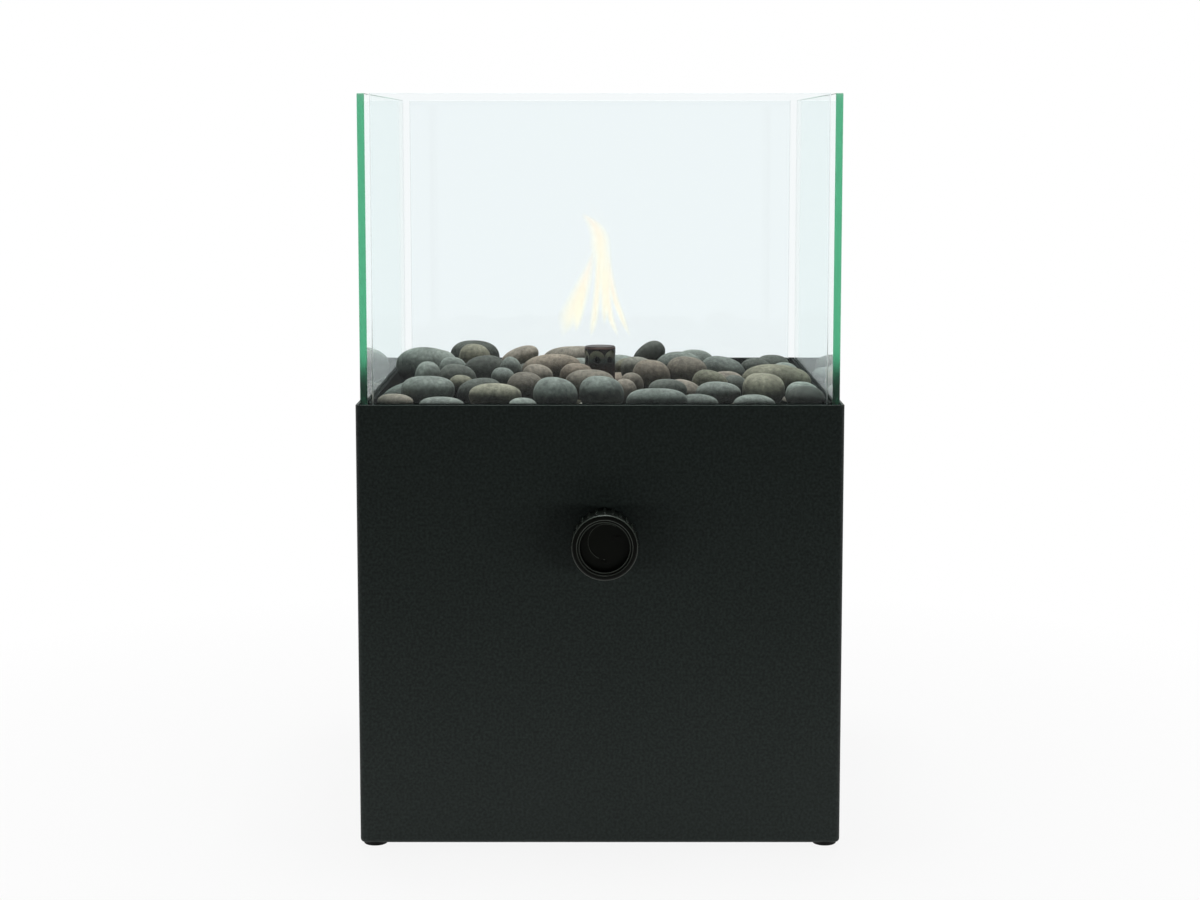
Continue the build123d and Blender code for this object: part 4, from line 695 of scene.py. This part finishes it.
# Each tongue: places across, back and up from the burner's top, in millimetres, and its half-widths there
FLAME_PATHS = {
    "left_flame_tongue": (
        ((-17.4, 0, 3), (-14.8, 0, 9), (-13.1, 0, 14), (-10.5, 0, 20.5), (-7.3, 0, 28.5), (-4.6, 0, 36.5),
         (-2.6, 0, 45)),
        (0.5, 3.8, 5.7, 5.3, 3.9, 2.2, 0.4),
    ),
    "left_flame_prong": (
        ((-11.2, 7, 5), (-10.2, 6, 10), (-9.4, 4, 16), (-8.0, 2, 24), (-6.0, 0, 31)),
        (0.4, 1.9, 2.5, 2.2, 0.4),
    ),
    "main_flame_tongue": (
        ((1.0, 0, 20), (1.6, 0, 28), (1.3, 0, 36.3), (0.2, 0, 44.2), (-0.3, 0, 49.5), (-2.2, 0, 54),
         (-5.2, 0, 57.5), (-8.0, 0, 60)),
        (0.6, 3.5, 4.3, 4.8, 4.6, 4.0, 2.8, 0.8),
    ),
    "front_flame_prong": (
        ((-4.3, -9, 4), (-3.3, -8, 9), (-2.3, -6, 15), (-1.2, -3, 26), (-0.6, -1, 36), (0.0, 0, 44)),
        (0.4, 1.7, 2.0, 1.9, 1.6, 0.4),
    ),
    "rear_flame_prong": (
        ((2.1, 9, 8), (2.1, 7, 14), (2.1, 4, 20.5), (1.8, 1, 30), (1.4, 0, 38)),
        (0.4, 1.7, 2.1, 2.0, 0.4),
    ),
    "middle_flame_prong": (
        ((8.4, -7, 4), (6.5, -6, 8.5), (4.8, -4, 13), (3.7, -2, 20.5), (3.2, 0, 30), (2.6, 0, 38)),
        (0.4, 1.4, 1.7, 1.8, 1.5, 0.4),
    ),
    "right_flame_prong": (
        ((14.2, 2, 3), (11.5, 2, 8.5), (9.4, 1, 14), (6.4, 0, 22.5), (4.3, 0, 33), (3.4, 0, 44)),
        (0.4, 1.4, 1.8, 1.9, 1.8, 0.4),
    ),
}


def lean_gas_flame():
    """A thin veil of burning gas that glows in its own tint; veils one inside the other add up."""
    made, tree = material("gas_flame_veil")
    veil = add(tree, "ShaderNodeAttribute", attribute_name="flame_veil")
    glow = add(tree, "ShaderNodeEmission", {"Color": (veil, "Color"), "Strength": FLAME_GLOW})
    clear = add(tree, "ShaderNodeBsdfTransparent")
    both = add(tree, "ShaderNodeMixShader", {0: (veil, "Alpha"), 1: (clear, "BSDF"), 2: (glow, "Emission")})
    add(tree, "ShaderNodeOutputMaterial", {"Surface": (both, "Shader")})
    return made


def tongue_rings(path, widths):
    """A tongue of flame as nested veils.

    Its middle line and half-width are smooth curves through the control values, blended by the cubic
    0.5 (2b + (c - a) t + (2a - 5b + 4c - d) t^2 + (3b - 3c + d - a) t^3); rings of that half-width, rounded
    off at both ends, are set level along the line. Each inner veil is the same tongue at a share of its
    width, and starts and ends a little further in.
    """
    values = np.column_stack([np.array(path, float), np.array(widths, float)])
    held = np.vstack([2 * values[0] - values[1], values, 2 * values[-1] - values[-2]])
    t = np.linspace(0, 1, FLAME_STEPS)[None, :]
    inset = VEIL_INSET_SHARE * (1 - VEIL_SHARES)[:, None]
    along = (inset + (1 - VEIL_SHORTENING * inset) * t) * (len(values) - 1)
    k = np.minimum(along.astype(int), len(values) - 2)
    f = (along - k)[..., None]
    a, b, c, d = (held[k + n] for n in range(4))
    square = 2 * a - 5 * b + 4 * c - d
    cube = 3 * b - 3 * c + d - a
    line = 0.5 * (2 * b + (c - a) * f + square * f ** 2 + cube * f ** 3)
    round_end = np.sqrt(np.sin(np.pi * np.linspace(*FLAME_ROUND_SPAN, FLAME_STEPS)))[None, :]
    width = np.maximum(line[..., 3], FLAME_LEAST_WIDTH) * VEIL_SHARES[:, None]
    width = (width * np.minimum(1, round_end * FLAME_END_SWELL))[..., None]
    turn = np.linspace(0, 2 * np.pi, FLAME_AROUND, endpoint=False)
    x = line[..., 0, None] + width * np.cos(turn)
    y = line[..., 1, None] + width * FLAME_DEPTH_SHARE * np.sin(turn)
    z = np.broadcast_to(line[..., 2, None], x.shape)
    return np.stack([x * MM, y * MM, FLAME_LOW + z * MM], axis=-1)


def light_flame(name, path, widths, finish):
    """One tongue of flame, thin at the root and at the tip: strength sin(pi t).

    Its rim and root are pale yellow, and its heart turns to peach on the way up, by (1 - share^2) sqrt(t).
    """
    rings = tongue_rings(path, widths)
    points, faces = closed_skins(rings)
    piece = mesh_piece(name, points, faces, finish)
    up = np.append(np.linspace(0, 1, FLAME_STEPS).repeat(FLAME_AROUND), [0, 1])
    fade = np.sin(np.pi * np.linspace(*FLAME_FADE_SPAN, FLAME_STEPS))
    strength = np.append(fade.repeat(FLAME_AROUND), [0, 0])
    rim, heart = np.array(linear(RIM_FLAME)), np.array(linear(HEART_FLAME))
    peach = (1 - VEIL_SHARES[:, None] ** 2) * np.sqrt(up)
    veil = rim + (heart - rim) * peach[..., None]
    veil[..., 3] = strength * VEIL_STRENGTHS[:, None]
    tint = piece.data.attributes.new("flame_veil", "FLOAT_COLOR", "POINT")
    tint.data.foreach_set("color", veil.ravel())
    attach(piece, "base")


flame = lean_gas_flame()
for name, (path, widths) in FLAME_PATHS.items():
    light_flame(name, path, widths, flame)


# Stage: a pale tracing-paper table top, whose front edge lies a little before the fire. It keeps a shadow
# near the fire, and the white studio shows through it, so that a cartridge taken out below it is seen too.
# The studio behind the camera is dark, so that glass and gloss stay clear.

PAPER = "#d6d6d6"
WHITE = (1, 1, 1, 1)
SHADOW_REACH = (0.16, 0.45)
WHITE_SHARES = (0.9, 1.0)
TABLE_FRONT = -0.32
TABLE_REACH = 8.0
TABLE_LEVEL = -0.4 * MM
STUDIO_DARK = 0.015
STUDIO_FILL = 0.2


def paper_table():
    """The table top: one level rectangle, white to the camera but for its shadow near the fire."""
    made, tree = material("pale_paper_table")
    place = add(tree, "ShaderNodeTexCoord")
    off = add(tree, "ShaderNodeVectorMath", {0: (place, "Object")}, operation="LENGTH")
    white_share = add(tree, "ShaderNodeMapRange", {
        "Value": (off, "Value"), "From Min": SHADOW_REACH[0], "From Max": SHADOW_REACH[1],
        "To Min": WHITE_SHARES[0], "To Max": WHITE_SHARES[1],
    })
    ray = add(tree, "ShaderNodeLightPath")
    seen = (ray, "Is Camera Ray")
    for kind in ("Is Transmission Ray", "Is Glossy Ray"):
        seen = (add(tree, "ShaderNodeMath", {0: seen, 1: (ray, kind)}, operation="MAXIMUM"), "Value")
    share = add(tree, "ShaderNodeMath", {0: seen, 1: (white_share, "Result")}, operation="MULTIPLY")
    paper = add(tree, "ShaderNodeBsdfDiffuse", {"Color": linear(PAPER)})
    white = add(tree, "ShaderNodeEmission", {"Color": WHITE, "Strength": 1.0})
    clear = add(tree, "ShaderNodeBsdfTransparent", {"Color": WHITE})
    pale = add(tree, "ShaderNodeMixShader", {
        0: (ray, "Is Camera Ray"), 1: (white, "Emission"), 2: (clear, "BSDF"),
    })
    both = add(tree, "ShaderNodeMixShader", {0: (share, "Value"), 1: (paper, "BSDF"), 2: (pale, "Shader")})
    add(tree, "ShaderNodeOutputMaterial", {"Surface": (both, "Shader")})
    corners = np.array([
        (-TABLE_REACH, TABLE_FRONT, TABLE_LEVEL), (TABLE_REACH, TABLE_FRONT, TABLE_LEVEL),
        (TABLE_REACH, TABLE_REACH, TABLE_LEVEL), (-TABLE_REACH, TABLE_REACH, TABLE_LEVEL),
    ])
    mesh_piece("paper_table", corners, [np.array([(0, 1, 2, 3)])], made)


def pale_studio():
    """The world: white to the camera and through glass, white behind the fire in gloss, dim elsewhere."""
    world = bpy.data.worlds.new("pale_studio")
    bpy.context.scene.world = world
    world.use_nodes = True
    tree = world.node_tree
    tree.nodes.clear()
    ray = add(tree, "ShaderNodeLightPath")
    place = add(tree, "ShaderNodeTexCoord")
    apart = add(tree, "ShaderNodeSeparateXYZ", {"Vector": (place, "Generated")})
    fill = add(tree, "ShaderNodeMapRange", {
        "Value": (apart, "Y"), "From Min": -0.2, "From Max": 0.8,
        "To Min": STUDIO_DARK, "To Max": STUDIO_FILL,
    })
    behind = add(tree, "ShaderNodeMapRange", {
        "Value": (apart, "Y"), "From Min": 0.0, "From Max": 0.35, "To Min": STUDIO_DARK, "To Max": 1.0,
    })
    gloss = add(tree, "ShaderNodeMix", {
        0: (ray, "Is Glossy Ray"), 2: (fill, "Result"), 3: (behind, "Result"),
    })
    seen = add(tree, "ShaderNodeMath", {
        0: (ray, "Is Camera Ray"), 1: (ray, "Is Transmission Ray"),
    }, operation="MAXIMUM")
    level = add(tree, "ShaderNodeMix", {0: (seen, "Value"), 2: (gloss, 0), 3: 1.0})
    sky = add(tree, "ShaderNodeBackground", {"Color": WHITE, "Strength": (level, 0)})
    add(tree, "ShaderNodeOutputWorld", {"Surface": (sky, "Background")})


def softbox(name, place, aim, width, height, watts, mirrored):
    """A soft rectangular lamp, turned towards a point; one that is not mirrored leaves the panes clear."""
    lamp = bpy.data.lights.new(name, "AREA")
    lamp.shape = "RECTANGLE"
    lamp.size = width
    lamp.size_y = height
    lamp.energy = watts
    made = bpy.data.objects.new(name, lamp)
    made.location = place
    made.rotation_euler = (Vector(aim) - Vector(place)).to_track_quat("-Z", "Y").to_euler()
    made.visible_camera = False
    made.visible_transmission = False
    made.visible_glossy = mirrored
    bpy.context.scene.collection.objects.link(made)


paper_table()
pale_studio()
softbox(
    "top_softbox", place=(0.0, 0.12, 1.3), aim=(0, 0, 0.2), width=0.6, height=0.6, watts=15.0, mirrored=True,
)
for name, across, watts in (("left_softbox", -0.8, 2.3), ("right_softbox", 0.8, 3.3)):
    softbox(
        name, place=(across, -0.8, 0.06), aim=(0, -0.1, 0.14), width=0.7, height=0.1, watts=watts,
        mirrored=False,
    )


# Camera at the photograph's viewing angle

SENSOR_WIDTH = 36.0
LENS = 67.56
LENS_SHIFT = -0.05
EYE = (0.0, -1.012, 0.2948)
EYE_PITCH = 6.45
LIGHT_BOUNCES = {
    "max_bounces": 32, "glossy_bounces": 24, "transmission_bounces": 24, "transparent_max_bounces": 160,
}

camera = bpy.data.cameras.new("camera")
camera.sensor_width = SENSOR_WIDTH
camera.lens = LENS
camera.shift_y = LENS_SHIFT
eye = bpy.data.objects.new("camera", camera)
eye.location = EYE
eye.rotation_euler = (math.radians(90 - EYE_PITCH), 0, 0)
bpy.context.scene.collection.objects.link(eye)
bpy.context.scene.camera = eye
bpy.context.scene.view_settings.view_transform = "Standard"
for kind, count in LIGHT_BOUNCES.items():
    setattr(bpy.context.scene.cycles, kind, count)
